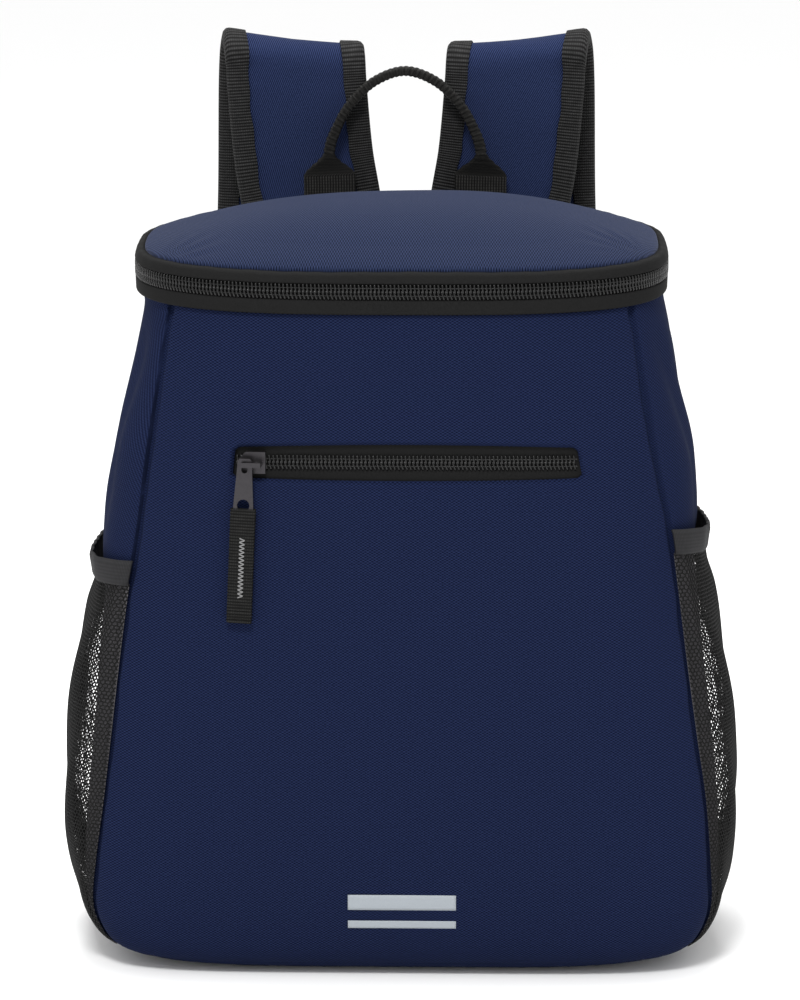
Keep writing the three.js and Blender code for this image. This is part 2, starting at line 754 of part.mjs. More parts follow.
// The crowned lid: rings from its edge to its middle, outside and inside.
function lidRing(share, inset, drop) {
  const half_x = (band_half_width - lid_edge_inset) * share - inset;
  const points = [];
  const add = (side, sign, turn) => {
    const deep = (sign < 0 ? band_front : band_back) - lid_edge_inset;
    const square = mix(2.4, sign < 0 ? band_square : band_back_square, share);
    const q = quarter(half_x, deep * share - inset, square, turn);
    const y = sign * q.y;
    points.push(v3(side * q.x, y, lidFoot(y) + lidCrown(share) - drop));
  };
  const round = 8;
  for (let i = 0; i < round; i++) add(1, -1, 1 - i / round);
  for (let i = 0; i < round; i++) add(1, 1, i / round);
  for (let i = 0; i < round; i++) add(-1, 1, 1 - i / round);
  for (let i = 0; i < round; i++) add(-1, -1, i / round);
  return points;
}

const lidCrown = (share) => crown_height * (1 - share ** 2.6);
const lidFoot = (y) => band_top + clearance + rise(1, y);

function lid() {
  const shares = [1, 0.97, 0.88, 0.74, 0.56, 0.34, 0.12];
  const rim = lidRing(1, lid_shoulder / 2, 0);
  const shoulder = lidRing(1, 0, -lid_shoulder);
  const outside = shares.slice(1).map((share) => lidRing(share, 0, 0));
  const inside = shares.slice(1).map((share) => lidRing(share, body_wall * share, lid_wall));
  const edge = lidRing(1, body_wall, 0);
  for (const p of inside.flat()) p.z = Math.max(p.z, lidFoot(p.y));
  const rings = [...outside.reverse(), shoulder, rim, edge, ...inside];
  const flat = (points) => points.map((p) => v2(p.x, p.y));
  return loft(rings, [flat(rings[0]), flat(rings[rings.length - 1])]);
}

const heightAt = (row) => row.height * body_height;
const pocket_foot = heightAt(SECTIONS[pocket_first_row]);

// How far a side pocket stands off the body: across is 0 at its front edge and 1 at its back.
function standOff(pocket, across, height) {
  const mouth = pocket.top + pocket.front_lift;
  const up = THREE.MathUtils.clamp((height - pocket_foot) / (mouth - pocket_foot), 0, 1);
  const belly = Math.max(Math.sin(Math.PI * up), 0) ** 0.85;
  const low = smooth(0, 0.04, up);
  const middle = 1 - Math.abs(2 * across - 1) ** 2.4;
  const swell = Math.max(pocket.swell * belly, pocket.mouth * smooth(0.1, 0.9, up)) * low;
  return 2 * clearance + swell * middle;
}

function pocketEdgeHeight(pocket, across) {
  return pocket.top + pocket.front_lift * (1 - across) ** 2;
}

// The rows of SECTIONS round a height, and how far it lies between them.
function rowsAt(height) {
  const share = shareAt(height);
  const after = Math.max(SECTIONS.findIndex((row) => row.height >= share), 1);
  const [a, b] = [SECTIONS[after - 1], SECTIONS[after]];
  const way = (share - a.height) / (b.height - a.height);
  return { a: section(a.height), b: section(b.height), way };
}

// The faceted outline of one side of the body at a height.
function sideOutline(side, height) {
  const { a, b, way } = rowsAt(height);
  const upper = roundSide(b, side, 0);
  return roundSide(a, side, 0).map((p, i) => p.lerp(upper[i], way));
}

// Where the faceted back wall lies at x and a height.
function backWall(side, x, height) {
  const points = sideOutline(side, height);
  let k = points.length - 1;
  while (k > 1 && side * points[k - 1].x < side * x) k--;
  const [p, q] = [points[k - 1], points[k]];
  return p.clone().lerp(q, (x - p.x) / (q.x - p.x));
}

const pocket_last = corner_steps + pocket_back_steps;

// A point on a pocket over the outline's own corners, from the front seam to the back edge.
function pocketSpot(pocket, corner, height, depth) {
  const at = sideOutline(pocket.side, height)[corner];
  const out = sideOut(section(shareAt(height)), pocket.side, at.y);
  return at.addScaledVector(out, standOff(pocket, pocketAcross(corner), height) + depth);
}

// How far across a pocket a corner of the outline lies, from 0 at the seam to 1 at the back.
function pocketAcross(corner) {
  const points = sideOutline(1, pocket_foot);
  const [first, last] = [points[0].y, points[pocket_last].y];
  return (points[corner].y - first) / (last - first);
}

// A sheet on a pocket. heights gives its rows at a share across.
function pocketSheet(pocket, heights, wall) {
  const corners = steps(pocket_last).map((t) => Math.round(t * pocket_last));
  const rows = heights(0).length;
  const grid = (depth) =>
    Array.from({ length: rows }, (_, r) =>
      corners.map((corner) => {
        return pocketSpot(pocket, corner, heights(pocketAcross(corner))[r], depth);
      }),
    );
  return sheet(grid(wall), grid(0));
}

// The mesh follows the body's own rows where the body curves under.
function sidePocket(pocket) {
  const low = SECTIONS.slice(pocket_first_row, pocket_belly_row + 1).map((row) => heightAt(row));
  const belly = low[low.length - 1];
  const heights = (across) => {
    const head = pocketEdgeHeight(pocket, across) - elastic_height - clearance;
    return [...low, ...steps(pocket_rows).slice(1).map((u) => mix(belly, head, u))];
  };
  return pocketSheet(pocket, heights, mesh_wall);
}

function pocketElastic(pocket) {
  const heights = (across) => {
    const head = pocketEdgeHeight(pocket, across);
    return steps(2).map((u) => mix(head - elastic_height, head, u));
  };
  return pocketSheet(pocket, heights, elastic_wall);
}

// The padded back, on the back wall.
function backPanel() {
  const rows = SECTIONS.slice(back_first_row, back_last_row + 1).map((row) => section(row.height));
  const first = corner_steps + back_first_step;
  const grid = (depth) =>
    rows.map((level, r) => {
      const right = roundSide(level, 1, -depth(r)).slice(first);
      const left = roundSide(level, -1, -depth(r)).slice(first, -1).reverse();
      return [...right, ...left];
    });
  const edge = (r) => r === 0 || r === rows.length - 1;
  const outer = grid((r) => clearance + back_pad * (edge(r) ? 0.55 : 1));
  for (const row of outer) {
    for (const p of [row[0], row[row.length - 1]]) p.y -= back_pad * 0.45;
  }
  return sheet(outer, grid(() => clearance));
}

// A strap's middle line: up from its root, over the fold and down behind the bag.
function strapLine(side) {
  const root_y = body_back + clearance * 2 + handle_wall + strap_root_pad / 2 + clearance;
  const fold_y = root_y + strap_stand + strap_fold_radius + clearance;
  const fold_z = strap_fold_top - strap_pad / 2 - binding_wall - strap_fold_radius;
  const x = (extra) => side * (strap_spread + extra);
  const rear = body_back + strap_bow;
  const arc = [150, 120, 90, 60, 30].map((degrees) => {
    const angle = (degrees * Math.PI) / 180;
    return v3(
      x(strap_lean * mix(1.1, 1.6, (150 - degrees) / 120)),
      fold_y + strap_fold_radius * Math.cos(angle),
      fold_z + strap_fold_radius * Math.sin(angle),
    );
  });
  const drop = fold_z - strap_end;
  return new THREE.CatmullRomCurve3(
    [
      v3(x(0), root_y, strap_root),
      v3(x(0), root_y + 0.6, strap_root + 12),
      v3(x(0), root_y + strap_lift, strap_root + strap_peel),
      v3(x(strap_lean * 0.6), root_y + strap_stand, mix(strap_root, fold_z, 0.6)),
      v3(x(strap_lean), fold_y - strap_fold_radius, fold_z - 8),
      ...arc,
      v3(x(strap_lean * 1.7), fold_y + strap_fold_radius + 1, fold_z - 8),
      v3(x(strap_lean * 1.85), mix(fold_y + strap_fold_radius, rear, 0.6), fold_z - drop * 0.27),
      v3(x(strap_flare * 0.46), rear, fold_z - drop * 0.5),
      v3(x(strap_flare * 0.72), rear - 4, fold_z - drop * 0.74),
      v3(x(strap_flare), rear - 16, strap_end),
    ],
    false,
    "centripetal",
  );
}

// The direction across a strap that runs this way.
function strapAcross(side, along) {
  const tilt = THREE.MathUtils.degToRad(strap_tilt);
  const level = v3(Math.cos(tilt), 0, side * Math.sin(tilt));
  return level.addScaledVector(along, -along.dot(level)).normalize();
}

// Stations along a strap's line, spaced by the turning of the line.
function strapStations(side, line) {
  return strapShares(line).map((share) => {
    const at = line.getPointAt(share);
    const along = line.getTangentAt(share);
    const across = strapAcross(side, along);
    return { at, across, out: v3().crossVectors(across, along), share };
  });
}

function strapShares(line) {
  const fold = foldShare(line);
  const up = steps(4).map((t) => t * (fold - 0.06));
  const over = steps(8).map((t) => fold - 0.06 + 0.12 * t);
  const down = steps(6).map((t) => mix(fold + 0.06, 1, t));
  return [...up, ...over.slice(1), ...down.slice(1)];
}

// The share of a line at its highest point.
function foldShare(line) {
  const height = (share) => line.getPointAt(share).z;
  return steps(100).reduce((best, share) => (height(share) > height(best) ? share : best), 0);
}

function strapSize(share, fold) {
  const taper = smooth(fold + 0.3, 1, share);
  return {
    half: mix(strap_width, strap_end_width, taper) / 2 - binding_wall - 2 * clearance,
    pad: mix(strap_root_pad, strap_pad, smooth(0, 0.12, share)) / 2 - binding_wall * 0.2 * taper,
  };
}

// The right strap's padded cloth.
function strapCore() {
  const line = strapLine(1);
  const fold = foldShare(line);
  return sweep(strapStations(1, line), (station) => {
    const { half, pad } = strapSize(station.share, fold);
    const bevel = pad * 0.8;
    return [
      v2(-half, -pad * 0.4),
      v2(-half + bevel, -pad),
      v2(half - bevel, -pad),
      v2(half, -pad * 0.4),
      v2(half, pad * 0.4),
      v2(half - bevel, pad),
      v2(-half + bevel, pad),
      v2(-half, pad * 0.4),
    ];
  });
}

// Webbing folded over an edge of the right strap: edge is 1 on the outer and -1 on the inner.
function strapBinding(edge) {
  const line = strapLine(1);
  const fold = foldShare(line);
  return sweep(strapStations(1, line), (station) => {
    const { half, pad } = strapSize(station.share, fold);
    const near = pad + 2.5 * clearance;
    const far = near + binding_wall;
    const reach = half + 2 * clearance + binding_wall;
    const lip = Math.max(reach - binding_width, clearance);
    const shape = [
      v2(lip, near),
      v2(lip, far),
      v2(half, far),
      v2(reach, far * 0.55),
      v2(reach, -far * 0.55),
      v2(half, -far),
      v2(lip, -far),
      v2(lip, -near),
      v2(half, -near),
      v2(half + 2 * clearance, -near * 0.6),
      v2(half + 2 * clearance, near * 0.6),
      v2(half, near),
    ];
    return shape.map((p) => v2(edge * p.x, p.y));
  });
}

// A body of the right-hand side, or the same on the left.
function onSide(side, geometry) {
  if (side > 0) return geometry;
  const other = geometry.clone().scale(-1, 1, 1);
  other.setIndex([...geometry.index.array].reverse());
  return other;
}

// The strap's lower end, from which the buckle and the lower webbing hang.
function strapFoot(side) {
  const line = strapLine(side);
  return { at: line.getPointAt(1), along: line.getTangentAt(1) };
}

function lockStations(side) {
  const foot = strapFoot(side);
  const across = strapAcross(side, foot.along);
  const out = v3().crossVectors(across, foot.along);
  return { ...foot, across, out };
}

// A buckle with two slots, under the strap's end.
function ladderLock(side) {
  const { at, along, across, out } = lockStations(side);
  const half = lock_width / 2;
  const outline = new THREE.Shape();
  const corner = 3;
  outline.moveTo(-half + corner, 0);
  outline.lineTo(half - corner, 0);
  outline.quadraticCurveTo(half, 0, half, -corner);
  outline.lineTo(half, -lock_height + corner);
  outline.quadraticCurveTo(half, -lock_height, half - corner, -lock_height);
  outline.lineTo(-half + corner, -lock_height);
  outline.quadraticCurveTo(-half, -lock_height, -half, -lock_height + corner);
  outline.lineTo(-half, -corner);
  outline.quadraticCurveTo(-half, 0, -half + corner, 0);
  const slot = (lock_height - 3 * lock_bar) / 2;
  for (const top of [-lock_bar, -2 * lock_bar - slot]) {
    const hole = new THREE.Path();
    const reach = half - lock_bar;
    hole.moveTo(-reach, top);
    hole.lineTo(-reach, top - slot);
    hole.lineTo(reach, top - slot);
    hole.lineTo(reach, top);
    hole.closePath();
    outline.holes.push(hole);
  }
  const geometry = plate(outline, -lock_wall / 2, lock_wall / 2, 3);
  const frame = new THREE.Matrix4().makeBasis(across, out, along.clone().multiplyScalar(-1));
  frame.setPosition(at.clone().addScaledVector(along, lock_drop));
  return geometry.applyMatrix4(frame);
}

// A flat strip of webbing swept along stations.
function webbing(stations, width, wall) {
  const [a, b] = [width / 2, wall / 2];
  return sweep(stations, () => [v2(-a, -b), v2(a, -b), v2(a, b), v2(-a, b)]);
}

// A point in a buckle's own frame: along it from its top bar's upper edge, and out from its middle.
function lockPoint(frame, along, out) {
  return frame.at.clone().addScaledVector(frame.along, lock_drop + along).addScaledVector(frame.out, out);
}

// Stations that go down one face, half round a bar and up the other face.
function loopStations(frame, reach, turn_at, spread, back_reach) {
  const toward = Math.sign(turn_at - reach);
  const points = [{ along: reach, out: -spread }];
  for (const t of steps(6)) {
    const angle = Math.PI * t;
    points.push({ along: turn_at + toward * spread * Math.sin(angle), out: -spread * Math.cos(angle) });
  }
  points.push({ along: back_reach, out: spread });
  return points.map((p, i) => {
    const before = points[Math.max(i - 1, 0)];
    const after = points[Math.min(i + 1, points.length - 1)];
    const way = v2(after.along - before.along, after.out - before.out).normalize();
    const at = lockPoint(frame, p.along, p.out);
    const out = frame.along.clone().multiplyScalar(-way.y).addScaledVector(frame.out, way.x);
    return { at, across: frame.across, out };
  });
}

// How far past a loop's centre its inner face clears the corners of a bar inside it.
function loopReach(spread) {
  const inner = (spread - web_wall / 2) * Math.cos(Math.PI / 12);
  return Math.sqrt(inner ** 2 - (lock_wall / 2 + clearance) ** 2);
}

// The webbing loop that holds the buckle to the strap's end.
function lockLoop(side) {
  const frame = lockStations(side);
  const spread = strap_pad / 2 + binding_wall + 3 * clearance + web_wall / 2;
  const turn_at = lock_bar + clearance - loopReach(spread);
  const reach = -lock_drop - loop_length;
  return webbing(loopStations(frame, reach, turn_at, spread, reach), web_width, web_wall);
}

// The adjuster webbing: up from its anchor, round the buckle's lower bar and down as a tail.
function adjusterWeb(side) {
  const frame = lockStations(side);
  const spread = lock_wall / 2 + 3 * clearance + web_wall / 2;
  const turn_at = lock_height - lock_bar - clearance + loopReach(spread);
  const loop = loopStations(frame, lock_height + 4, turn_at, spread, lock_height + web_tail);
  const [end, out] = anchorSpot(side, anchor_foot + anchor_tall * 0.45);
  end.addScaledVector(out, anchor_wall + 3.5 * clearance + web_wall / 2);
  const lead = anchorSpot(side, anchor_foot + anchor_tall)[0];
  lead.addScaledVector(out, anchor_wall + 4 * clearance + web_wall);
  const start = loop[0].at;
  const line = new THREE.CatmullRomCurve3([end, lead, start], false, "centripetal");
  const climb = steps(7).slice(0, -1).map((share) => {
    const along = line.getTangentAt(share);
    const facing = out.clone().lerp(loop[0].out, smooth(0.2, 1, share));
    const across = v3().crossVectors(facing, along).normalize();
    if (across.dot(frame.across) < 0) across.negate();
    const outward = v3().crossVectors(across, along);
    if (outward.dot(loop[0].out) < 0) outward.negate();
    return { at: line.getPointAt(share), across, out: outward };
  });
  return webbing([...climb, ...loop], web_width, web_wall);
}

// A place on the back wall near its side edge, and the direction out of the wall there.
function anchorSpot(side, height, shift = 0) {
  const at = backWall(side, side * (anchor_spread + shift), height);
  const level = section(shareAt(height));
  const half = side < 0 ? level.left : level.right;
  const out = v3(
    (side * (Math.abs(at.x) / half) ** (level.back_square - 1)) / half,
    (at.y / level.back) ** (level.back_square - 1) / level.back,
    0,
  ).normalize();
  return [at, out];
}

// The sewn tab that holds the adjuster webbing's end.
function webAnchor(side) {
  const grid = (depth) =>
    steps(3).map((u) =>
      steps(4).map((t) => {
        const narrow = mix(anchor_width, anchor_width * 0.75, u) / 2;
        const [at, out] = anchorSpot(side, anchor_foot + anchor_tall * u, mix(-narrow, narrow, t));
        return at.addScaledVector(out, depth);
      }),
    );
  return sheet(grid(1.6 * clearance + anchor_wall), grid(1.6 * clearance));
}

// The carry handle: flat flared ends sewn to the back, and a folded arch between them.
function carryHandle() {
  const root_y = body_back + clearance + handle_wall / 2;
  const over_band = band_back + 1 + clearance + handle_wall / 2;
  const arch_y = over_band - 1;
  const half_line = [
    v3(-handle_spread, root_y, handle_root),
    v3(-handle_spread, root_y, handle_root + 12),
    v3(-handle_spread, over_band, handle_root + handle_climb),
    v3(-handle_spread, over_band, handle_flare_top),
    v3(-handle_spread, arch_y, handle_neck),
    v3(-handle_spread * 0.9, arch_y, mix(handle_neck, handle_top, 0.28)),
    v3(-handle_spread * 0.73, arch_y, mix(handle_neck, handle_top, 0.57)),
    v3(-handle_spread * 0.4, arch_y, mix(handle_neck, handle_top, 0.87)),
    v3(0, arch_y, handle_top),
  ];
  const other = half_line.slice(0, -1).reverse().map((p) => v3(-p.x, p.y, p.z));
  const line = new THREE.CatmullRomCurve3([...half_line, ...other], false, "centripetal");
  const stations = steps(30).map((share) => {
    const at = line.getPointAt(share);
    const along = line.getTangentAt(share);
    const across = v3(0, 1, 0).addScaledVector(along, -along.y).normalize();
    return { at, across, out: v3().crossVectors(along, across) };
  });
  return sweep(stations, ({ at }) => {
    const neck = smooth(handle_flare_top, handle_neck, at.z);
    const arch = smooth(handle_neck, mix(handle_neck, handle_top, 0.5), at.z);
    const deep = mix(mix(handle_wall, handle_fold_width * 0.62, neck), handle_fold_width, arch) / 2;
    const wide = mix(mix(handle_base_width, handle_fold_wall * 1.5, neck), handle_fold_wall, arch) / 2;
    const bevel = Math.min(deep, wide) * 0.6;
    return [
      v2(-deep, -wide + bevel),
      v2(-deep + bevel, -wide),
      v2(deep - bevel, -wide),
      v2(deep, -wide + bevel),
      v2(deep, wide - bevel),
      v2(deep - bevel, wide),
      v2(-deep + bevel, wide),
      v2(-deep, wide - bevel),
    ];
  });
}

// One bar of the reflective accent, on the front panel.
function accentBar({ height, tall }) {
  const grid = (depth) =>
    steps(1).map((u) =>
      steps(6).map((t) => {
        const x = accent_middle + mix(-accent_width, accent_width, t) / 2;
        const spot = panelSpot(x, height + mix(-tall, tall, u) / 2);
        return spot.at.addScaledVector(spot.out, depth);
      }),
    );
  return sheet(grid(1.2 * clearance + accent_wall), grid(1.2 * clearance));
}

const sides = [
  { side: -1, name: "left" },
  { side: 1, name: "right" },
];

const group = new THREE.Group();
function add(name, geometry, look, parent = group) {
  const flat = geometry.index ? geometry.toNonIndexed() : geometry;
  flat.computeVertexNormals();
  const mesh = new THREE.Mesh(flat, material(look));
  mesh.name = name;
  parent.add(mesh);
  return mesh;
}

add("body_shell", bodyShell(), "canvas");
add("front_panel", frontPanel(), "canvas");
add("pocket_zip_tape", pocketZipTape(), "zip_tape");
add("pocket_zip_coil", pocketZipCoil(), "zip_coil");
group.add(slider_group);
add("pocket_slider", pocketSlider(), "gunmetal", slider_group);
const pull_group = new THREE.Group();
pull_group.rotation.y = THREE.MathUtils.degToRad(pull_lean);
slider_group.add(pull_group);
add("pull_tab", pullTab(), "gunmetal", pull_group);
add("pull_web", pullWeb(), "webbing", pull_group);
add("lid", lid(), "lid_canvas");
add("lid_zip_tape_lower", lidTapeLower(), "zip_tape");
add("lid_zip_tape_upper", lidTapeUpper(), "zip_tape");
add("lid_zip_coil", lidZipCoil(), "zip_coil");
add("lid_hinge", lidHinge(), "canvas");
add("lid_slider", lidSlider(), "gunmetal");
add("back_panel", backPanel(), "canvas");
add("carry_handle", carryHandle(), "webbing");
for (const [name, bar] of Object.entries(ACCENT_BARS)) {
  add("accent_bar_" + name, accentBar(bar), "reflective");
}
for (const { side, name } of sides) {
  add("side_pocket_" + name, sidePocket(POCKETS[name]), "mesh");
  add("pocket_band_" + name, pocketElastic(POCKETS[name]), "webbing");
  add("strap_" + name, onSide(side, strapCore()), "canvas");
  add("strap_binding_outer_" + name, onSide(side, strapBinding(1)), "webbing");
  add("strap_binding_inner_" + name, onSide(side, strapBinding(-1)), "webbing");
  add("ladder_lock_" + name, ladderLock(side), "buckle");
  add("lock_loop_" + name, lockLoop(side), "webbing");
  add("adjuster_web_" + name, adjusterWeb(side), "webbing");
  add("web_anchor_" + name, webAnchor(side), "webbing");
}

export default group;
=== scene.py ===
"""The soft cooler backpack's looks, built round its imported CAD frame.

Lengths are in millimetres until a mesh is made, which is in metres. The front faces -Y.
"""

import math

import bpy
import numpy as np
from mathutils import Matrix, Vector


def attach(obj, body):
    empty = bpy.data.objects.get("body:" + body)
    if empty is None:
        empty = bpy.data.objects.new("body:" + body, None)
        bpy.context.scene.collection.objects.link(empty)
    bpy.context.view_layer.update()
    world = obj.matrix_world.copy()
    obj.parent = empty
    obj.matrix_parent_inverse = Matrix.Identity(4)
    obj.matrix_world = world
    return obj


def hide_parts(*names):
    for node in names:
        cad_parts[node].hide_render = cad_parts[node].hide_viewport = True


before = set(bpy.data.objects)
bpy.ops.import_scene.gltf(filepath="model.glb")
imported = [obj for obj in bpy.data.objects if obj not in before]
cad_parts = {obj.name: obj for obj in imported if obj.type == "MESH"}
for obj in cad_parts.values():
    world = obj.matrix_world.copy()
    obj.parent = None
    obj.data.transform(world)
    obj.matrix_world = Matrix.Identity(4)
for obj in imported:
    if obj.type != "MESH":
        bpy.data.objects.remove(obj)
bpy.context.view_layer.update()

# Body sizes, as in the part
BODY_HEIGHT = 356.0
HALF_WIDTH = 172.0
BODY_FRONT = 90.0
BODY_BACK = 80.0
RIM_RISE = 10.0
CLEARANCE = 0.3
PANEL_WALL = 2.6
BAND_SQUARE = 3.0
BAND_BACK_SQUARE = {1: 3.2, -1: 2.65}
LEFT_REAR_ROUNDING = 0.55
COLUMNS = ("height", "seam_left", "seam_right", "left", "right", "front", "back", "square",
           "back_square")
SECTIONS = np.array([
    [0.0, 0.6, 0.61, 0.64, 0.65, 0.72, 0.72, 5.0, 5.0],
    [0.006, 0.705, 0.715, 0.75, 0.755, 0.8, 0.82, 5.2, 5.0],
    [0.014, 0.79, 0.8, 0.835, 0.84, 0.86, 0.89, 5.5, 5.0],
    [0.03, 0.87, 0.885, 0.905, 0.915, 0.92, 0.945, 6.0, 5.0],
    [0.052, 0.915, 0.93, 0.945, 0.955, 0.955, 0.975, 6.5, 5.0],
    [0.1, 0.946, 0.962, 0.975, 0.985, 0.985, 1.0, 7.5, 5.0],
    [0.175, 0.933, 0.957, 0.98, 0.99, 1.0, 1.0, 7.5, 5.0],
    [0.27, 0.905, 0.94, 0.966, 0.982, 1.0, 1.0, 7.0, 5.0],
    [0.365, 0.88, 0.91, 0.948, 0.962, 0.998, 1.0, 6.6, 5.0],
    [0.475, 0.852, 0.877, 0.93, 0.935, 0.994, 1.0, 6.0, 5.0],
    [0.58, 0.822, 0.848, 0.912, 0.914, 0.99, 1.0, 5.4, 5.0],
    [0.625, 0.804, 0.835, 0.921, 0.904, 0.988, 1.0, 5.1, 5.0],
    [0.675, 0.786, 0.82, 0.912, 0.912, 0.985, 1.0, 4.9, 4.9],
    [0.775, 0.757, 0.775, 0.877, 0.893, 0.973, 1.0, 4.4, 4.7],
    [0.875, 0.728, 0.738, 0.832, 0.852, 0.957, 1.0, 3.8, 4.3],
    [0.955, 0.703, 0.711, 0.798, 0.82, 0.942, 0.995, 3.3, 3.7],
    [0.986, 0.691, 0.698, 0.791, 0.806, 0.93, 0.99, 3.1, 3.3],
    [1.0, 0.689, 0.696, 0.802, 0.806, 0.922, 0.99, 3.0, 3.2],
])
PANEL_FOOT_ROW = 2
PANEL_FOOT_FADE = (0.012, 0.03)

# Upright folds of the side walls: place along y, width and height, and where they fade
SIDE_FOLDS = ((-46, 7, -1.5), (-30, 8, 1.1), (5, 12, -0.8))
FOLDS_FOOT = (214, 262)
FOLDS_HEAD = (325, 352)
FOLDS_REAR = (40, 66)

# Grid lines of the front cloth beside the slot and beside the seams
HEM_LINES = np.array([0.0, 0.35, 0.8, 1.4, 2.2, 3.2, 4.4, 5.8, 7.5])
EDGE_LINES = np.array([0.0, 0.5, 1.0, 1.6, 2.4, 3.4, 4.8])

# Zipper slot of the front pocket
SLOT_LEFT = -85.0
SLOT_RIGHT = 93.5
SLOT_HEIGHT = 279.0
SLOT_HALF = 7.8
SLOT_BOW = 1.6
SLOT_TIP = 3.0
SLOT_TIP_CLOSE = 1.8
TAPE_REACH = 4.0
TAPE_RISE = 4.5
TAPE_DEPTH = PANEL_WALL + 1.5 * CLEARANCE
COIL_HALF = 4.0
TOOTH_PITCH = 2.05
TOOTH_CORNERS = 6
TOOTH_RADIUS = 0.27
TOOTH_LEAN = {1: 0.25, -1: -0.62}
THREAD_STAND = 1.35
THREAD_RADIUS = 0.24

# One tooth from its outer bend to the middle: across, out, along and thickness
TOOTH = np.array([
    [0.97, -0.1, 0.0, 0.9],
    [1.0, 0.65, 0.0, 1.1],
    [0.86, 1.2, 0.1, 1.05],
    [0.55, 1.3, 0.4, 0.95],
    [0.22, 1.3, 0.75, 1.0],
    [-0.06, 1.05, 1.0, 1.15],
    [-0.16, 0.35, 1.0, 0.9],
])

# Band round the lid
BAND_HALF_WIDTH = 140.5
BAND_FRONT = 85.5
BAND_BACK = 82.0
BAND_FOOT = BODY_HEIGHT + CLEARANCE
COIL_FOOT = BAND_FOOT + 7.0 + CLEARANCE
COIL_HEAD = COIL_FOOT + 8.0
BAND_TOP = COIL_HEAD + CLEARANCE + 5.0
BAND_WALL = 2.6
ZIP_TURN = 18 / 20
CROWN_HEIGHT = 23.0
TAPE_LEAN = 4.0
LID_INSET = TAPE_LEAN + 0.6
LID_SQUARE = 2.4

# Creases of the lid: corner and direction
LID_CREASES = ((-128, -60, 0.55), (128, -48, 2.5), (-120, 66, -0.5), (120, 66, 3.6))

# Rolled edge of the lid: share of its width, height and distance in
LID_EDGE = np.array([
    [1.0, -2.2, 1.0],
    [1.0, -0.6, 0.1],
    [0.998, 0.6, 0.0],
    [0.992, 1.2, 0.0],
    [0.98, 1.2, 0.0],
    [0.965, 1.1, 0.0],
])

# Side pockets
POCKET_FOOT = 0.03 * BODY_HEIGHT
ELASTIC_HEIGHT = 12.5
POCKETS = {
    "left": {"side": -1, "top": 215.5, "lift": 9.0, "swell": 15.5, "mouth": 5.3},
    "right": {"side": 1, "top": 227.5, "lift": 14.0, "swell": 12.5, "mouth": 5.8},
}
NET_PITCH = 2.3
NET_RADIUS = 0.38
NET_GRID = 90

# Shoulder straps
STRAP_WIDTH = 77.0
STRAP_END_WIDTH = 27.0
STRAP_PAD = 7.0
STRAP_ROOT_PAD = 3.4
STRAP_SPREAD = 51.0
STRAP_LEAN = 9.0
STRAP_TILT = 6.5
STRAP_FLARE = 44.0
STRAP_ROOT = BODY_HEIGHT - 13.0
STRAP_PEEL = 38.0
STRAP_LIFT = 7.4
STRAP_STAND = 10.0
STRAP_TOP = BODY_HEIGHT + 124.5
FOLD_RADIUS = 12.5
STRAP_BOW = 44.0
STRAP_END = BODY_HEIGHT - 184.0
BINDING_WIDTH = 12.5
BINDING_WALL = 1.0
STRAP_STEPS = 260

# Carry handle
HANDLE_SPREAD = 41.5
HANDLE_BASE = 28.6
HANDLE_WALL = 2.4
HANDLE_ROOT = BODY_HEIGHT - 10.0
HANDLE_CLIMB = 30.0
HANDLE_FLARE = BODY_HEIGHT + 44.0
HANDLE_NECK = BODY_HEIGHT + 65.0
HANDLE_TOP = BODY_HEIGHT + 108.0
HANDLE_FOLD_WIDTH = 10.0
HANDLE_FOLD_WALL = 5.2
BRAID_PITCH = 2.8
HANDLE_STEPS = 620

# Puller
PULL_PLACE = -78.6
PULL_STAND = 1.9
PULL_LEAN = 2.5
PULL_WIDTH = 12.9
PULL_TOP = 23.6
PULL_LENGTH = 60.0
PULL_RIB = 2.15
STITCHES = 30
STITCH_SPAN = (-38.5, -70.0)

# Reflective accent
ACCENT_MIDDLE = 1.8
ACCENT_WIDTH = 57.0
ACCENT_BARS = {"upper": (43.6, 8.4), "lower": (31.2, 4.2)}

# Camera, in metres
CAMERA_LENS = 140.3
CAMERA_SHIFT = -0.002
CAMERA_PLACE = (0.0430, -2.0537, 0.6768)
CAMERA_AIM = (0.0, 0.0, 0.2414)

UP = np.array([0.0, 0.0, 1.0])


def mix(a, b, t):
    return a + (b - a) * t


def smooth(start, end, at):
    t = np.clip((np.asarray(at, float) - start) / (end - start), 0, 1)
    return t * t * (3 - 2 * t)


def bell(at, width):
    return np.exp(-((np.asarray(at, float) / width) ** 2))


def unit(vectors):
    """Vectors along the last axis, made one long."""
    return vectors / np.linalg.norm(vectors, axis=-1, keepdims=True)


def lengths(line):
    """The distance along a line at each of its points."""
    step = np.linalg.norm(np.diff(line, axis=0), axis=1)
    return np.concatenate([[0.0], np.cumsum(step)])


def heading(line):
    """The direction along a line at each of its points."""
    return unit(np.gradient(line, axis=0))


def pair(u, v):
    """Two values that spread over a grid, as pairs."""
    return np.stack(np.broadcast_arrays(u, v), -1)


def even(start, end, count):
    """Evenly spaced values from start on, without the end."""
    return np.linspace(start, end, count + 1)[:-1]


def oblong(angle, x_square, y_square):
    """A rounded oblong's outline, from -1 to 1 on both axes."""
    c, s = np.cos(angle), np.sin(angle)
    return np.sign(c) * np.abs(c) ** (2 / x_square), np.sign(s) * np.abs(s) ** (2 / y_square)


def rings(at, across, out, angles, wide, tall):
    """A ring of points round each point, wide along across and tall along out."""
    c, s = np.cos(angles)[:, None], np.sin(angles)[:, None]
    return at[..., None, :] + across[..., None, :] * c * wide + out[..., None, :] * s * tall


# Meshes


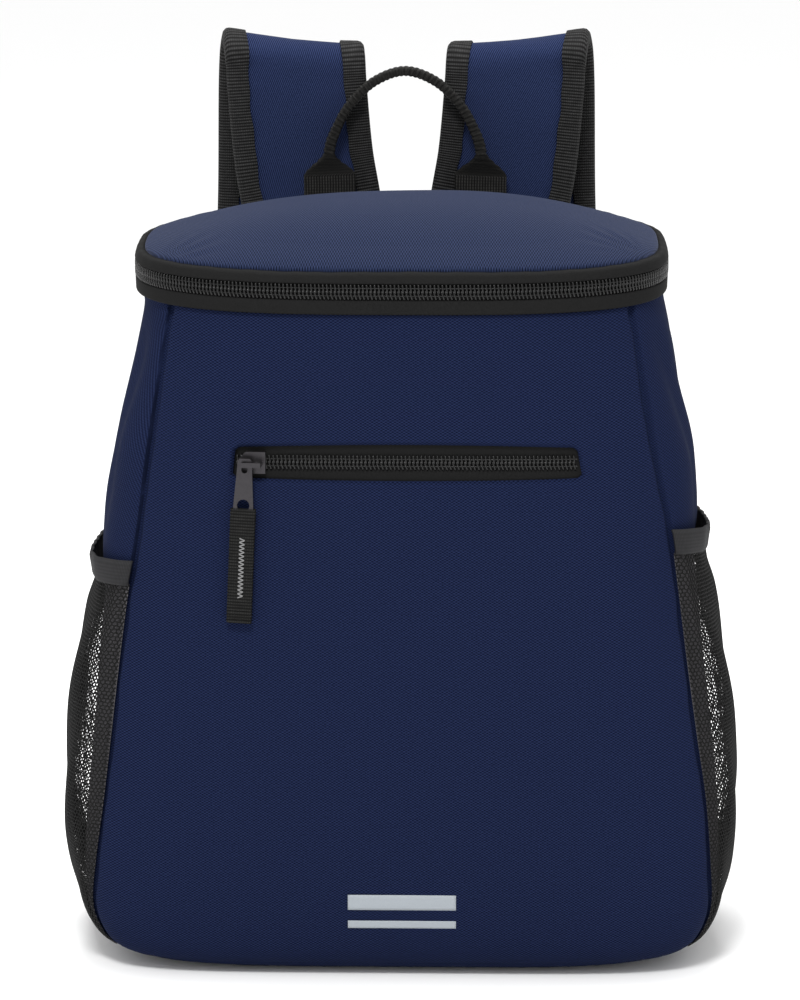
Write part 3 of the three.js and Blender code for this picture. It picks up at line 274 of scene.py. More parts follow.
def grid_faces(rows, columns, wrap_rows=False, wrap_columns=False):
    """The faces of a grid of points that is numbered row by row."""
    r = np.arange(rows if wrap_rows else rows - 1)[:, None]
    c = np.arange(columns if wrap_columns else columns - 1)[None, :]
    r2 = (r + 1) % rows
    c2 = (c + 1) % columns
    corners = [r * columns + c, r * columns + c2, r2 * columns + c2, r2 * columns + c]
    return np.stack(np.broadcast_arrays(*corners), -1).reshape(-1, 4)


def tube_faces(rows, columns):
    """The faces of a closed tube of rings, with both of its ends."""
    faces = grid_faces(rows, columns, wrap_columns=True).tolist()
    faces.append(list(range(columns))[::-1])
    faces.append([(rows - 1) * columns + k for k in range(columns)])
    return faces


def make(name, points, faces, uv=None, *, material, body="bag"):
    """A mesh object from points in millimetres, riding on a body."""
    mesh = bpy.data.meshes.new(name)
    mesh.from_pydata((np.asarray(points, float).reshape(-1, 3) * 0.001).tolist(), [], faces)
    if uv is not None:
        corner = np.zeros(len(mesh.loops), np.int32)
        mesh.loops.foreach_get("vertex_index", corner)
        layer = mesh.uv_layers.new(name="UVMap")
        flat = (np.asarray(uv, float).reshape(-1, 2) * 0.001)[corner]
        layer.data.foreach_set("uv", flat.astype(np.float32).ravel())
    mesh.polygons.foreach_set("use_smooth", [True] * len(mesh.polygons))
    mesh.update()
    piece = bpy.data.objects.new(name, mesh)
    bpy.context.scene.collection.objects.link(piece)
    mesh.materials.append(material)
    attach(piece, body)
    return piece


def thicken(piece, wall, offset):
    """A wall of this many millimetres, before the piece's face at offset 1 and behind it at -1."""
    solid = piece.modifiers.new("wall", "SOLIDIFY")
    solid.thickness = wall * 0.001
    solid.offset = offset


def normals(points, outward):
    """Unit normals of a grid of points, turned to the side of outward."""
    n = unit(np.cross(np.gradient(points, axis=1), np.gradient(points, axis=0)))
    return n * np.where((n * outward).sum(-1, keepdims=True) < 0, -1.0, 1.0)


def resample(line, count, *others):
    """A line as count evenly spaced points, with what goes along it."""
    along = lengths(line)
    at = np.linspace(0, along[-1], count)
    return [np.stack([np.interp(at, along, a[:, k]) for k in range(a.shape[1])], 1)
            for a in (line, *others)]


def sweep(stations, profile):
    """Points, faces and UVs of closed profiles along stations of (at, across, out)."""
    at, across, out = stations
    shape = np.broadcast_to(profile, (len(at),) + profile.shape[-2:])
    points = at[:, None] + across[:, None] * shape[..., :1] + out[:, None] * shape[..., 1:]
    uv = pair(lengths(shape[0])[None, :], lengths(at)[:, None])
    return points.reshape(-1, 3), tube_faces(len(at), shape.shape[1]), uv.reshape(-1, 2)


# Sections of the body


def column(name, share):
    k = COLUMNS.index(name)
    height, value = SECTIONS[:, 0], SECTIONS[:, k]
    share = np.asarray(share, float)
    last = len(height) - 1
    i = np.clip(np.searchsorted(height, share, side="right") - 1, 0, last - 1)
    index = np.arange(last + 1)
    before, after = np.maximum(index - 1, 0), np.minimum(index + 1, last)
    slope = (value[after] - value[before]) / (height[after] - height[before])
    span = height[i + 1] - height[i]
    t = np.clip((share - height[i]) / span, 0, 1)
    return ((2 * t**3 - 3 * t**2 + 1) * value[i] + (t**3 - 2 * t**2 + t) * span * slope[i]
            + (3 * t**2 - 2 * t**3) * value[i + 1] + (t**3 - t**2) * span * slope[i + 1])


def rise(share, y):
    return RIM_RISE * share**3 * (y + BODY_FRONT) / (BODY_FRONT + BODY_BACK)


def half_of(side, share):
    return column("left" if side < 0 else "right", share) * HALF_WIDTH


def seam_of(side, share):
    return column("seam_left" if side < 0 else "seam_right", share) * HALF_WIDTH


def front_point(share, x):
    share, x = np.broadcast_arrays(np.asarray(share, float), np.asarray(x, float))
    half = np.where(x < 0, half_of(-1, share), half_of(1, share))
    square = column("square", share)
    deep = np.maximum(1 - np.abs(x / half) ** square, 0) ** (1 / square)
    y = -column("front", share) * BODY_FRONT * deep
    return np.stack([x, y, share * BODY_HEIGHT + rise(share, y)], -1)


def quarter(half_x, half_y, square, turn):
    """A point of a rounded quarter and the direction out of it."""
    angle = math.pi / 4 * (1 - np.cos(math.pi * turn))
    c = np.maximum(np.cos(angle), 0)
    s = np.maximum(np.sin(angle), 0)
    x, y = half_x * c ** (2 / square), half_y * s ** (2 / square)
    nx = (x / half_x) ** (square - 1) / half_x
    ny = (y / half_y) ** (square - 1) / half_y
    size = np.hypot(nx, ny)
    return x, y, nx / size, ny / size


def turn_at(half_x, square, x):
    angle = np.arccos(np.minimum(x / half_x, 1) ** (square / 2))
    return np.arccos(1 - 4 * angle / math.pi) / math.pi


def side_points(share, side, way):
    """Points of one side at way: -1 at the front seam, 0 at its widest, 1 at the back's middle."""
    share, way = np.broadcast_arrays(np.asarray(share, float), np.asarray(way, float))
    half, square = half_of(side, share), column("square", share)
    first = turn_at(half, square, seam_of(side, share))
    xf, yf, nxf, nyf = quarter(half, column("front", share) * BODY_FRONT, square,
                               first * np.clip(-way, 0, 1))
    back_square = column("back_square", share)
    if side < 0:
        back_square = back_square - LEFT_REAR_ROUNDING * smooth(0.8, 1, share)
    xb, yb, nxb, nyb = quarter(half, column("back", share) * BODY_BACK, back_square,
                               np.clip(way, 0, 1))
    front = way < 0
    x, y = np.where(front, xf, xb), np.where(front, -yf, yb)
    out = np.stack([side * np.where(front, nxf, nxb), np.where(front, -nyf, nyb), 0 * x], -1)
    return np.stack([side * x, y, share * BODY_HEIGHT + rise(share, y)], -1), out


def front_outline(height, x):
    """The front face at x and a height, and the direction out of it."""
    share = np.asarray(height, float) / BODY_HEIGHT
    at = front_point(share, x)
    near = front_point(share, np.asarray(x, float) + 0.5)
    slope = (near - at)[..., :2]
    return at, unit(np.stack([slope[..., 1], -slope[..., 0], 0 * slope[..., 0]], -1))


# Materials


def principled(name, colour, roughness, metallic=0.0, sheen=0.0, specular=0.5):
    material = bpy.data.materials.new(name)
    material.use_nodes = True
    shader = material.node_tree.nodes["Principled BSDF"]
    shader.inputs["Base Color"].default_value = (*colour, 1)
    shader.inputs["Roughness"].default_value = roughness
    shader.inputs["Metallic"].default_value = metallic
    shader.inputs["Specular IOR Level"].default_value = specular
    if sheen:
        shader.inputs["Sheen Weight"].default_value = sheen
        shader.inputs["Sheen Roughness"].default_value = 0.5
        shader.inputs["Sheen Tint"].default_value = (0.75, 0.8, 1.0, 1)
    return material, material.node_tree, shader


def math_node(tree, operation, a, b=None):
    node = tree.nodes.new("ShaderNodeMath")
    node.operation = operation
    for socket, value in zip(node.inputs, (a, b)):
        if isinstance(value, (int, float)):
            socket.default_value = value
        elif value is not None:
            tree.links.new(value, socket)
    return node.outputs[0]


def times(tree, a, b):
    return math_node(tree, "MULTIPLY", a, b)


def plus(tree, a, b):
    return math_node(tree, "ADD", a, b)


def surface_coordinates(tree, kind="UV"):
    source = tree.nodes.new("ShaderNodeTexCoord")
    split = tree.nodes.new("ShaderNodeSeparateXYZ")
    tree.links.new(source.outputs[kind], split.inputs[0])
    return split.outputs, source.outputs[kind]


def wave(tree, coordinate, pitch):
    return math_node(tree, "SINE", times(tree, coordinate, 2000 * math.pi / pitch))


def above_zero(tree, value):
    """A wave from -1 to 1 as one from 0 to 1."""
    return plus(tree, times(tree, value, 0.5), 0.5)


def noise(tree, vector, scale):
    node = tree.nodes.new("ShaderNodeTexNoise")
    node.inputs["Scale"].default_value = scale
    node.inputs["Detail"].default_value = 2.0
    tree.links.new(vector, node.inputs["Vector"])
    return node.outputs[0]


def ramp_colour(tree, shader, factor, low, high):
    """The shader's colour runs from low to high with a factor."""
    ramp = tree.nodes.new("ShaderNodeValToRGB")
    ramp.color_ramp.elements[0].color = (*low, 1)
    ramp.color_ramp.elements[1].color = (*high, 1)
    tree.links.new(factor, ramp.inputs[0])
    tree.links.new(ramp.outputs[0], shader.inputs["Base Color"])


def bump(tree, shader, height, depth_mm, strength):
    node = tree.nodes.new("ShaderNodeBump")
    node.inputs["Strength"].default_value = strength
    node.inputs["Distance"].default_value = depth_mm * 0.001
    tree.links.new(height, node.inputs["Height"])
    tree.links.new(node.outputs[0], shader.inputs["Normal"])


CANVAS_DEPTH = 0.2


def canvas(name, low, high, wide=2.35, tall=1.46, twill=0.0, sheen=0.0):
    """Woven cloth: yarns cross like bricks of this width and height, or run slanted in a twill."""
    material, tree, shader = principled(name, high, 0.9, sheen=sheen, specular=0.04)
    (u, v, _), vector = surface_coordinates(tree)
    if twill:
        weave = wave(tree, plus(tree, u, times(tree, v, twill)), wide)
    else:
        weave = times(tree, wave(tree, u, wide), wave(tree, v, tall))
    raised = above_zero(tree, weave)
    yarn = noise(tree, vector, 900.0)
    # Painted shade: the colour is darker where the weave is low, between the yarns; the noise gives
    # the yarns a random tone of their own.
    tone_and_shade = times(tree, raised, plus(tree, yarn, 0.5))
    ramp_colour(tree, shader, tone_and_shade, low, high)
    bump(tree, shader, raised, CANVAS_DEPTH, 1.0)
    return material


def ribbed(name, low, high, pitch=1.6, cross=1.2, depth=0.35, axis="v"):
    """Webbing: ribs follow one another along an axis at this pitch, with lumps across it."""
    material, tree, shader = principled(name, high, 0.75, specular=0.12)
    split, vector = surface_coordinates(tree, "Object" if axis == "z" else "UV")
    along, over = {"u": (0, 1), "v": (1, 0), "z": (2, 0)}[axis]
    rib = above_zero(tree, wave(tree, split[along], pitch))
    lumps = above_zero(tree, above_zero(tree, wave(tree, split[over], cross)))
    height = times(tree, rib, lumps)
    worn = noise(tree, vector, 260.0)
    # Painted shade: the colour is darker in the grooves between the ribs and between the lumps; the
    # worn noise gives a random tone.
    tone_and_shade = times(tree, height, plus(tree, worn, 0.35))
    ramp_colour(tree, shader, tone_and_shade, low, high)
    bump(tree, shader, height, depth, 0.9)
    return material


def plain(name, low, high, roughness, scale=700.0, depth=0.05, metallic=0.0, specular=0.5):
    """A plain finish with a fine grain."""
    material, tree, shader = principled(name, high, roughness, metallic, specular=specular)
    _, vector = surface_coordinates(tree, "Object")
    grain = noise(tree, vector, scale)
    ramp_colour(tree, shader, grain, low, high)
    bump(tree, shader, grain, depth, 0.5)
    return material


def grey(value):
    return (value, value, value)


NAVY = canvas("navy_canvas", (0.0003, 0.0013, 0.008), (0.0137, 0.0208, 0.060))
# The lid's colour is the front's navy with an even grey added: the cloth's own navy plus painted
# top light and sheen.
LID_NAVY_AND_PAINTED_LIGHT = canvas("lid_navy_canvas_and_painted_light", (0.0, 0.002, 0.008), (0.023, 0.032, 0.074),
                  wide=1.4, tall=3.2, sheen=0.07)
STRAP_NAVY = canvas("strap_navy_canvas", (0.002, 0.005, 0.020), (0.025, 0.037, 0.095),
                    wide=1.15, twill=-0.5, sheen=0.04)
BACK_CANVAS = canvas("back_canvas", (0.004, 0.004, 0.005), (0.022, 0.022, 0.025))
BACKING = canvas("grey_backing", (0.055, 0.053, 0.057), (0.105, 0.102, 0.109), wide=1.4, tall=1.1)
WEBBING = ribbed("black_webbing", grey(0.001), grey(0.042), depth=0.45)
PULL_WEB = ribbed("puller_webbing", grey(0.001), (0.022, 0.022, 0.021))
HANDLE_WEB = ribbed("handle_webbing", grey(0.001), (0.034, 0.033, 0.031), 1.5, 1.6, axis="u")
ELASTIC = ribbed("black_elastic", (0.012, 0.012, 0.013), (0.030, 0.030, 0.032), 0.9, 1.8,
                 depth=0.1, axis="u")
PLAIN_WEB = ribbed("hidden_webbing", grey(0.0025), (0.045, 0.045, 0.043), axis="z")
TAPE = plain("black_tape", grey(0.003), grey(0.013), 0.8, 1500.0, 0.1, specular=0.08)
COIL = plain("black_coil", grey(0.004), grey(0.010), 0.24, specular=0.28)
NET = plain("black_net", grey(0.003), grey(0.012), 0.6, specular=0.15)
GUNMETAL = plain("gunmetal", (0.036, 0.034, 0.037), (0.052, 0.049, 0.053), 0.36,
                 metallic=0.9, depth=0.01)
BUCKLE = plain("black_plastic", grey(0.006), grey(0.012), 0.42)
SILVER = plain("reflective_film", (0.25, 0.275, 0.30), (0.31, 0.335, 0.36), 0.5, 2500.0, 0.03,
               specular=0.3)
THREAD = plain("grey_thread", grey(0.12), grey(0.20), 0.6)

# Body


def body_cloth():
    rows = np.concatenate([even(0, 0.05, 25), even(0.05, 0.2, 21), np.linspace(0.2, 1, 92)])
    share = rows[:, None]
    x = mix(-seam_of(-1, share), seam_of(1, share), np.linspace(0, 1, 61)[None, :])
    face = front_point(share, x)
    face[..., 1] += (PANEL_WALL + 2 * CLEARANCE) * smooth(*PANEL_FOOT_FADE, share)
    way = np.concatenate([even(-0.97, 0, 29), np.linspace(0, 1, 50)])[None, :]
    right, right_out = side_points(share, 1, way)
    left, left_out = side_points(share, -1, way)
    for side, points, out in ((1, right, right_out), (-1, left, left_out)):
        points += out * side_folds(side, points)[..., None]
    ring = np.concatenate([face, right, left[:, -2::-1]], axis=1)
    step = np.linalg.norm(np.diff(ring[:, :, :2], axis=1), axis=2)
    round_it = np.pad(np.cumsum(step, axis=1), ((0, 0), (1, 0)))
    faces = grid_faces(len(rows), ring.shape[1], wrap_columns=True).tolist()
    faces.append(list(range(ring.shape[1]))[::-1])
    piece = make("body_cloth", ring, faces, pair(round_it, share * BODY_HEIGHT), material=NAVY)
    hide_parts("body_shell")


def side_folds(side, points):
    """Soft upright folds in the side walls, in millimetres out."""
    y, z = points[..., 1], points[..., 2]
    drift = 6 * np.sin(z / 61 + side) + 3 * np.sin(z / 23)
    fold = sum(high * bell(y - place + drift, width) for place, width, high in SIDE_FOLDS)
    slack = 0.5 * np.sin(z / 17 + y / 21) + 0.35 * np.sin(z / 9.5 - y / 13 + side)
    held = smooth(*FOLDS_FOOT, z) * (1 - smooth(*FOLDS_HEAD, z)) * (1 - smooth(*FOLDS_REAR, y))
    return (fold + slack) * held


def front_lines():
    """The front's grid lines, dense at its edges, and the first and last cells of the slot."""
    low, high = SECTIONS[PANEL_FOOT_ROW, 0] * BODY_HEIGHT, BODY_HEIGHT - CLEARANCE
    slot_low, slot_high = SLOT_HEIGHT - SLOT_HALF, SLOT_HEIGHT + SLOT_HALF
    seam_left, seam_right = (seam_of(side, SLOT_HEIGHT / BODY_HEIGHT) for side in (-1, 1))
    hem, edge = HEM_LINES[-1], EDGE_LINES[-1]
    below = np.concatenate([even(low, low + 6, 8), even(low + 6, slot_low - hem, 99)])
    above = np.concatenate([np.linspace(slot_high + hem, high - 4, 28)[1:],
                            np.linspace(high - 4, high, 5)[1:]])
    left = np.concatenate([-seam_left + EDGE_LINES,
                           np.linspace(-seam_left + edge, SLOT_LEFT - hem, 14)[1:-1]])
    right = np.concatenate([np.linspace(SLOT_RIGHT + hem, seam_right - edge, 12)[1:-1],
                            seam_right - EDGE_LINES[::-1]])
    middle = np.linspace(SLOT_LEFT, SLOT_RIGHT, 100)[1:-1]
    heights = np.concatenate([below, slot_low - HEM_LINES[::-1], [SLOT_HEIGHT],
                              slot_high + HEM_LINES, above])
    widths = np.concatenate([left, SLOT_LEFT - HEM_LINES[::-1], middle,
                             SLOT_RIGHT + HEM_LINES, right])
    row = len(below) + len(HEM_LINES) - 1
    col = len(left) + len(HEM_LINES) - 1
    return heights, widths, (row, row + 1, col, col + len(middle))


def front_relief(x, z, seam_by, end_by, slot_by):
    """How far the front's cloth stands out: hems, puckers along the seams, and slack."""
    hems = -2.0 * bell(seam_by, 0.9) - 1.6 * bell(end_by, 1.2) - 1.7 * bell(slot_by, 0.9)
    welt = 0.55 * bell(slot_by - 2.6, 1.6)
    pucker = 0.32 * np.sin(z / 11 + 0.8 * np.sin(z / 37)) * bell(seam_by - 7, 9)
    slack = 0.45 * np.sin(x / 37 + 0.6) * np.sin(z / 49 + 0.4) + 0.3 * np.sin(x / 71 - z / 83 + 1.0)
    return hems + welt + pucker + slack * smooth(4, 26, seam_by) * smooth(3, 24, end_by)


def front_cloth():
    """The front panel, with its edges turned in along the seams and round the zipper slot."""
    heights, widths, (first_row, last_row, first_col, last_col) = front_lines()
    height, width = heights[:, None], widths[None, :]
    share = height / BODY_HEIGHT
    x = mix(-seam_of(-1, share), seam_of(1, share), (width - widths[0]) / (widths[-1] - widths[0]))
    half = (SLOT_RIGHT - SLOT_LEFT) / 2
    from_middle = np.abs(width - (SLOT_LEFT + SLOT_RIGHT) / 2)
    above_by = height - SLOT_HEIGHT
    past_x = np.maximum(from_middle - half, 0)
    past_z = np.maximum(np.abs(above_by) - SLOT_HALF, 0)
    bow = SLOT_BOW * np.clip(1 - (from_middle / half) ** 2, -0.2, 1)
    tip = 1 - np.clip(half - from_middle, 0, SLOT_TIP) / SLOT_TIP
    bow = bow - SLOT_TIP_CLOSE * tip**2 * (from_middle < half + 8)
    z = height + (np.sign(above_by) * bow * bell(past_z, 14)
                  * np.minimum(np.abs(above_by) / SLOT_HALF, 1))
    seam_by = np.minimum(x + seam_of(-1, z / BODY_HEIGHT), seam_of(1, z / BODY_HEIGHT) - x)
    tuck = 0.45 + 0.3 * np.sin(z / 9 + 1.5 * np.sin(z / 31)) + 0.15 * np.sin(z / 3.7)
    x = x - np.sign(x) * tuck * bell(seam_by, 7)
    face = front_point(z / BODY_HEIGHT, x)
    depth = front_relief(x, z, seam_by, height - heights[0], np.hypot(past_x, past_z))
    face = face + normals(face, np.array([0.0, -1.0, 0.0])) * depth[..., None]
    faces = grid_faces(len(heights), len(widths))
    row, col = faces[:, 0] // len(widths), faces[:, 0] % len(widths)
    slot = (row >= first_row) & (row <= last_row) & (col >= first_col) & (col <= last_col)
    piece = make("front_cloth", face, faces[~slot][:, ::-1].tolist(), pair(x, z), material=NAVY)
    thicken(piece, 1.4, offset=1.0)
    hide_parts("front_panel")


body_cloth()
front_cloth()

# Zippers


def tooth_row(path, out, count, side, half, size):
    """The teeth of one half of a coil: each goes from its outer bend over to the middle."""
    at, n = resample(path, 2 * count + 1, out)
    pick = np.arange(0 if side > 0 else 1, 2 * count, 2)
    at, n, along = at[pick], unit(n)[pick], heading(at)[pick]
    across, stand, run_by, thick = TOOTH.T[:, :, None]
    place = (at[:, None] + UP * side * half * across + n[:, None] * stand
             + along[:, None] * run_by * size * TOOTH_LEAN[side])
    run = unit(np.gradient(place, axis=1))
    width = unit(along[:, None] - run * (along[:, None] * run).sum(-1, keepdims=True))
    radius = thick[..., None] * TOOTH_RADIUS * size
    corners = even(0, 2 * math.pi, TOOTH_CORNERS)
    points = rings(place, width, np.cross(run, width), corners, radius, radius)
    shape = tube_faces(len(TOOTH), TOOTH_CORNERS)
    return merge([(tooth.reshape(-1, 3), shape) for tooth in points])


def thread_line(path, out, lift, pitch):
    """A sewing thread that runs over the teeth."""
    at, n = resample(path, int(lengths(path)[-1] / (pitch / 3)), out)
    beat = 0.16 * np.cos(2 * math.pi * lengths(at) / pitch)
    centre = at + UP * lift + n * (THREAD_STAND + beat)[:, None]
    points = rings(centre, UP, n, even(0, 2 * math.pi, 4), 1.3 * THREAD_RADIUS, THREAD_RADIUS)
    return points.reshape(-1, 3), grid_faces(len(at), 4, wrap_columns=True).tolist()


def merge(parts):
    """Many meshes as one."""
    points, faces, start = [], [], 0
    for part_points, part_faces in parts:
        points.append(part_points)
        faces.extend([[i + start for i in face] for face in part_faces])
        start += len(part_points)
    return np.concatenate(points), faces


def coil(name, path, out, count, half, replaced):
    """Both halves of a coil of count teeth along a path, with their threads."""
    size = lengths(path)[-1] / count
    parts = [tooth_row(path, out, count, side, half, size) for side in (1, -1)]
    parts += [thread_line(path, out, side * half / 2, size) for side in (1, -1)]
    points, faces = merge(parts)
    piece = make(name, points, faces, material=COIL)
    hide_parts(replaced)


def pocket_zip():
    x = np.linspace(SLOT_LEFT - TAPE_REACH, SLOT_RIGHT + TAPE_REACH, 120)[None, :]
    rows = np.linspace(-SLOT_HALF - TAPE_RISE, SLOT_HALF + TAPE_RISE, 14)[:, None]
    at, out = front_outline(SLOT_HEIGHT + rows, x)
    tape = make("pocket_tape", at - out * (TAPE_DEPTH + 0.1),
                grid_faces(rows.size, x.size)[:, ::-1].tolist(), pair(x, rows), material=TAPE)
    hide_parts("pocket_zip_tape")
    at, out = front_outline(SLOT_HEIGHT, np.linspace(SLOT_LEFT + 1.5, SLOT_RIGHT - 1.0, 200))
    count = int(lengths(at)[-1] / TOOTH_PITCH)
    coil("pocket_teeth", at - out * (TAPE_DEPTH + 0.1), out, count, COIL_HALF - 0.3,
         "pocket_zip_coil")


pocket_zip()


def band_path(last, count):
    """The band's line round both sides from the front's middle to a turn, and the way out."""
    corner = 2 * np.linspace(0, last, 600) - 1
    front = corner < 0
    xf, yf, nxf, nyf = quarter(BAND_HALF_WIDTH, BAND_FRONT, BAND_SQUARE, np.clip(-corner, 0, 1))
    lines, outs = [], []
    for side in (-1, 1):
        xb, yb, nxb, nyb = quarter(BAND_HALF_WIDTH, BAND_BACK, BAND_BACK_SQUARE[side],
                                   np.clip(corner, 0, 1))
        y = np.where(front, -yf, yb)
        lines.append(np.stack([side * np.where(front, xf, xb), y, rise(1.0, y)], 1))
        out = [side * np.where(front, nxf, nxb), np.where(front, -nyf, nyb), 0 * y]
        outs.append(np.stack(out, 1))
    line, out = (np.concatenate([left[:0:-1], right]) for left, right in (lines, outs))
    line, out = resample(line, count, out)
    return line, unit(out)


def band_strip(name, shape, material, replaced, wobble=0.0):
    """A closed strip round the lid. shape has heights and depths out of the band's face."""
    line, out = band_path(1.0, 701)
    line, out = line[:-1], out[:-1]
    shape = np.array(shape, float)
    heights, depths = shape[None, :, :1], shape[None, :, 1]
    along = lengths(line)[:, None]
    uneven = np.sin(along / 19) + 0.5 * np.sin(along / 4.3) + 0.4 * np.sin(along / 1.9)
    head = np.maximum(heights - BAND_TOP + 3.0, 0) / 3.0
    points = line[:, None] + UP * (heights + wobble * uneven[:, None] * head)
    points = points + out[:, None] * (depths + 0.6 * wobble * uneven)[..., None]
    faces = grid_faces(len(line), len(shape), wrap_rows=True, wrap_columns=True).tolist()
    piece = make(name, points, faces, pair(along, lengths(shape)[None, :]), material=material)
    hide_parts(replaced)


def arc(centre_height, centre_depth, radius, start, end, count):
    angle = np.radians(np.linspace(start, end, count))
    return [(centre_height + radius * math.sin(a), centre_depth + radius * math.cos(a))
            for a in angle]


def lid_band():
    web = -BAND_WALL + 1.1
    middle = (COIL_FOOT + COIL_HEAD) / 2
    lower = [(BAND_FOOT - 0.6, -BAND_WALL)]
    lower += arc(BAND_FOOT + 0.5, -0.9, 1.1, -90, 10, 6)
    lower += arc(COIL_FOOT - 1.2, -0.5, 0.9, 10, 90, 6)
    lower += [(COIL_FOOT - 0.2, web), (middle, web), (middle, -BAND_WALL)]
    band_strip("lid_tape_lower", lower, TAPE, "lid_zip_tape_lower")
    upper = [(middle + 0.1, -BAND_WALL), (middle + 0.1, web), (COIL_HEAD + 0.1, web)]
    upper += arc(COIL_HEAD + 1.0, -0.2, 0.9, -90, 20, 6)
    upper += arc(BAND_TOP - 2.2, -2.6, 2.6, 20, 90, 7)
    upper += [(BAND_TOP + 0.5, -TAPE_LEAN - 0.8), (BAND_TOP - 0.6, -TAPE_LEAN)]
    band_strip("lid_tape_upper", upper, TAPE, "lid_zip_tape_upper", wobble=0.16)
    line, out = band_path(ZIP_TURN, 1200)
    count = int(lengths(line)[-1] / TOOTH_PITCH)
    coil("lid_teeth", line + UP * middle + out * (web + 0.4), out, count, COIL_HALF - 0.1,
         "lid_zip_coil")


lid_band()

# Lid


def lid_crown(share):
    return CROWN_HEIGHT * (1 - share**2.6)


def lid_foot(y):
    return BAND_TOP + CLEARANCE + rise(1.0, y)


def lid_ring(share, up, sunk):
    """One ring of the lid at a share of its width, raised and sunk by so much."""
    ring = []
    for side, end in ((1, -1), (1, 1), (-1, 1), (-1, -1)):
        turn = even(0, 1, 56)
        deep, square = (BAND_FRONT, BAND_SQUARE) if end < 0 else (BAND_BACK, BAND_BACK_SQUARE[side])
        x, y, _, _ = quarter((BAND_HALF_WIDTH - LID_INSET) * share - sunk,
                             (deep - LID_INSET) * share - sunk,
                             mix(LID_SQUARE, square, share), turn if side == end else 1 - turn)
        ring.append(np.stack([side * x, end * y, lid_foot(end * y) + lid_crown(share) + up], 1))
    return np.concatenate(ring)


def lid_creases(x, y):
    """Creases that run in from the lid's corners."""
    crease = np.zeros_like(x)
    for corner_x, corner_y, aim in LID_CREASES:
        dx, dy = x - corner_x, y - corner_y
        far = np.hypot(dx, dy)
        angle = (np.arctan2(dy, dx) - aim + math.pi) % (2 * math.pi) - math.pi
        near = smooth(3, 12, far) * (1 - smooth(14, 44, far))
        crease += 0.8 * np.cos(angle * 17) * bell(angle, 0.8) * near
    return crease


def lid_cloth():
    inner = np.linspace(0.945, 0.04, 60)
    swell = np.concatenate([np.linspace(1.0, 0.0, 10), np.zeros(50)])
    table = np.concatenate([LID_EDGE, np.stack([inner, swell, 0 * inner], 1)])
    points = np.array([lid_ring(*row) for row in table])
    x, y = points[..., 0], points[..., 1]
    puff = 0.5 * np.sin(x / 33 + 0.5) * np.sin(y / 27) + 0.4 * np.sin(x / 61 - y / 45)
    points[..., 2] += (puff + lid_creases(x, y)) * smooth(0, 0.05, 1 - table[:, :1])
    rows, columns = x.shape
    faces = grid_faces(rows, columns, wrap_columns=True).tolist()
    faces.append([(rows - 1) * columns + k for k in range(columns)])
    piece = make("lid_cloth", points, faces, pair(x, y), material=LID_NAVY_AND_PAINTED_LIGHT)
    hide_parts("lid")


lid_cloth()

# Side pockets


def pocket_table(pocket, depth, rows, columns, band=False):
    """Points of a pocket's sheet as a grid, or of the band over its mouth, and the way out."""
    ways = np.concatenate([even(-1, 0, 59), np.linspace(0, 4 / 9, 60)])
    outline, _ = side_points(POCKET_FOOT / BODY_HEIGHT, 1, ways)
    place = lengths(outline) / lengths(outline)[-1]
    columns_at = np.linspace(0, 1, columns)
    way = np.interp(columns_at, place, ways)
    across = (outline[:, 1] - outline[0, 1]) / (outline[-1, 1] - outline[0, 1])
    across = np.interp(columns_at, place, across)
    head = pocket["top"] + pocket["lift"] * (1 - across) ** 2
    foot = head - ELASTIC_HEIGHT if band else np.full_like(head, POCKET_FOOT)
    top = head if band else head - ELASTIC_HEIGHT - CLEARANCE
    z = mix(foot[None, :], top[None, :], np.linspace(0, 1, rows)[:, None])
    at, out = side_points(z / BODY_HEIGHT, pocket["side"], way[None, :])
    mouth = pocket["top"] + pocket["lift"]
    up = np.clip((z - POCKET_FOOT) / (mouth - POCKET_FOOT), 0, 1)
    belly = pocket["swell"] * np.maximum(np.sin(math.pi * up), 0) ** 0.85
    swell = np.maximum(belly, pocket["mouth"] * smooth(0.1, 0.9, up)) * smooth(0, 0.04, up)
    middle = 1 - np.abs(2 * across - 1) ** 2.4
    off = 2 * CLEARANCE + swell * middle[None, :] + depth
    return at + out * off[..., None], out


def net_strands(wide, tall):
    """The strands of a hexagonal net on a flat sheet, as shares of its width and height."""
    reach = NET_PITCH / math.sqrt(3)
    columns, rows = int(wide / NET_PITCH) + 2, int(tall / (1.5 * reach)) + 2
    column_at, row_at = np.meshgrid(np.arange(columns), np.arange(rows))
    x = (column_at + 0.5 * (row_at % 2)) * NET_PITCH
    z = row_at * 1.5 * reach
    top = np.stack([x, z + reach], -1)
    low_left = np.stack([x - NET_PITCH / 2, z + reach / 2], -1)
    low_right = np.stack([x + NET_PITCH / 2, z + reach / 2], -1)
    above = np.stack([x, z + 2 * reach], -1)
    strands = np.concatenate([np.stack([a, b], -2).reshape(-1, 2, 2)
                              for a, b in ((low_left, top), (top, low_right), (top, above))])
    sheet = np.array([wide, tall])
    strands = strands[((strands > 0) & (strands < sheet)).all(axis=2).any(axis=1)]
    uneven = 0.3 * np.sin(strands @ np.array([[12.9, 7.1], [4.7, 17.3]]))
    return np.clip(strands + uneven, 0, sheet) / sheet


def on_table(values, share):
    """The values of a grid at shares across and up it."""
    s = share[..., 0] * (values.shape[1] - 1)
    t = share[..., 1] * (values.shape[0] - 1)
    i = np.clip(t.astype(int), 0, values.shape[0] - 2)
    j = np.clip(s.astype(int), 0, values.shape[1] - 2)
    fs, ft = (s - j)[..., None], (t - i)[..., None]
    return mix(mix(values[i, j], values[i, j + 1], fs),
               mix(values[i + 1, j], values[i + 1, j + 1], fs), ft)


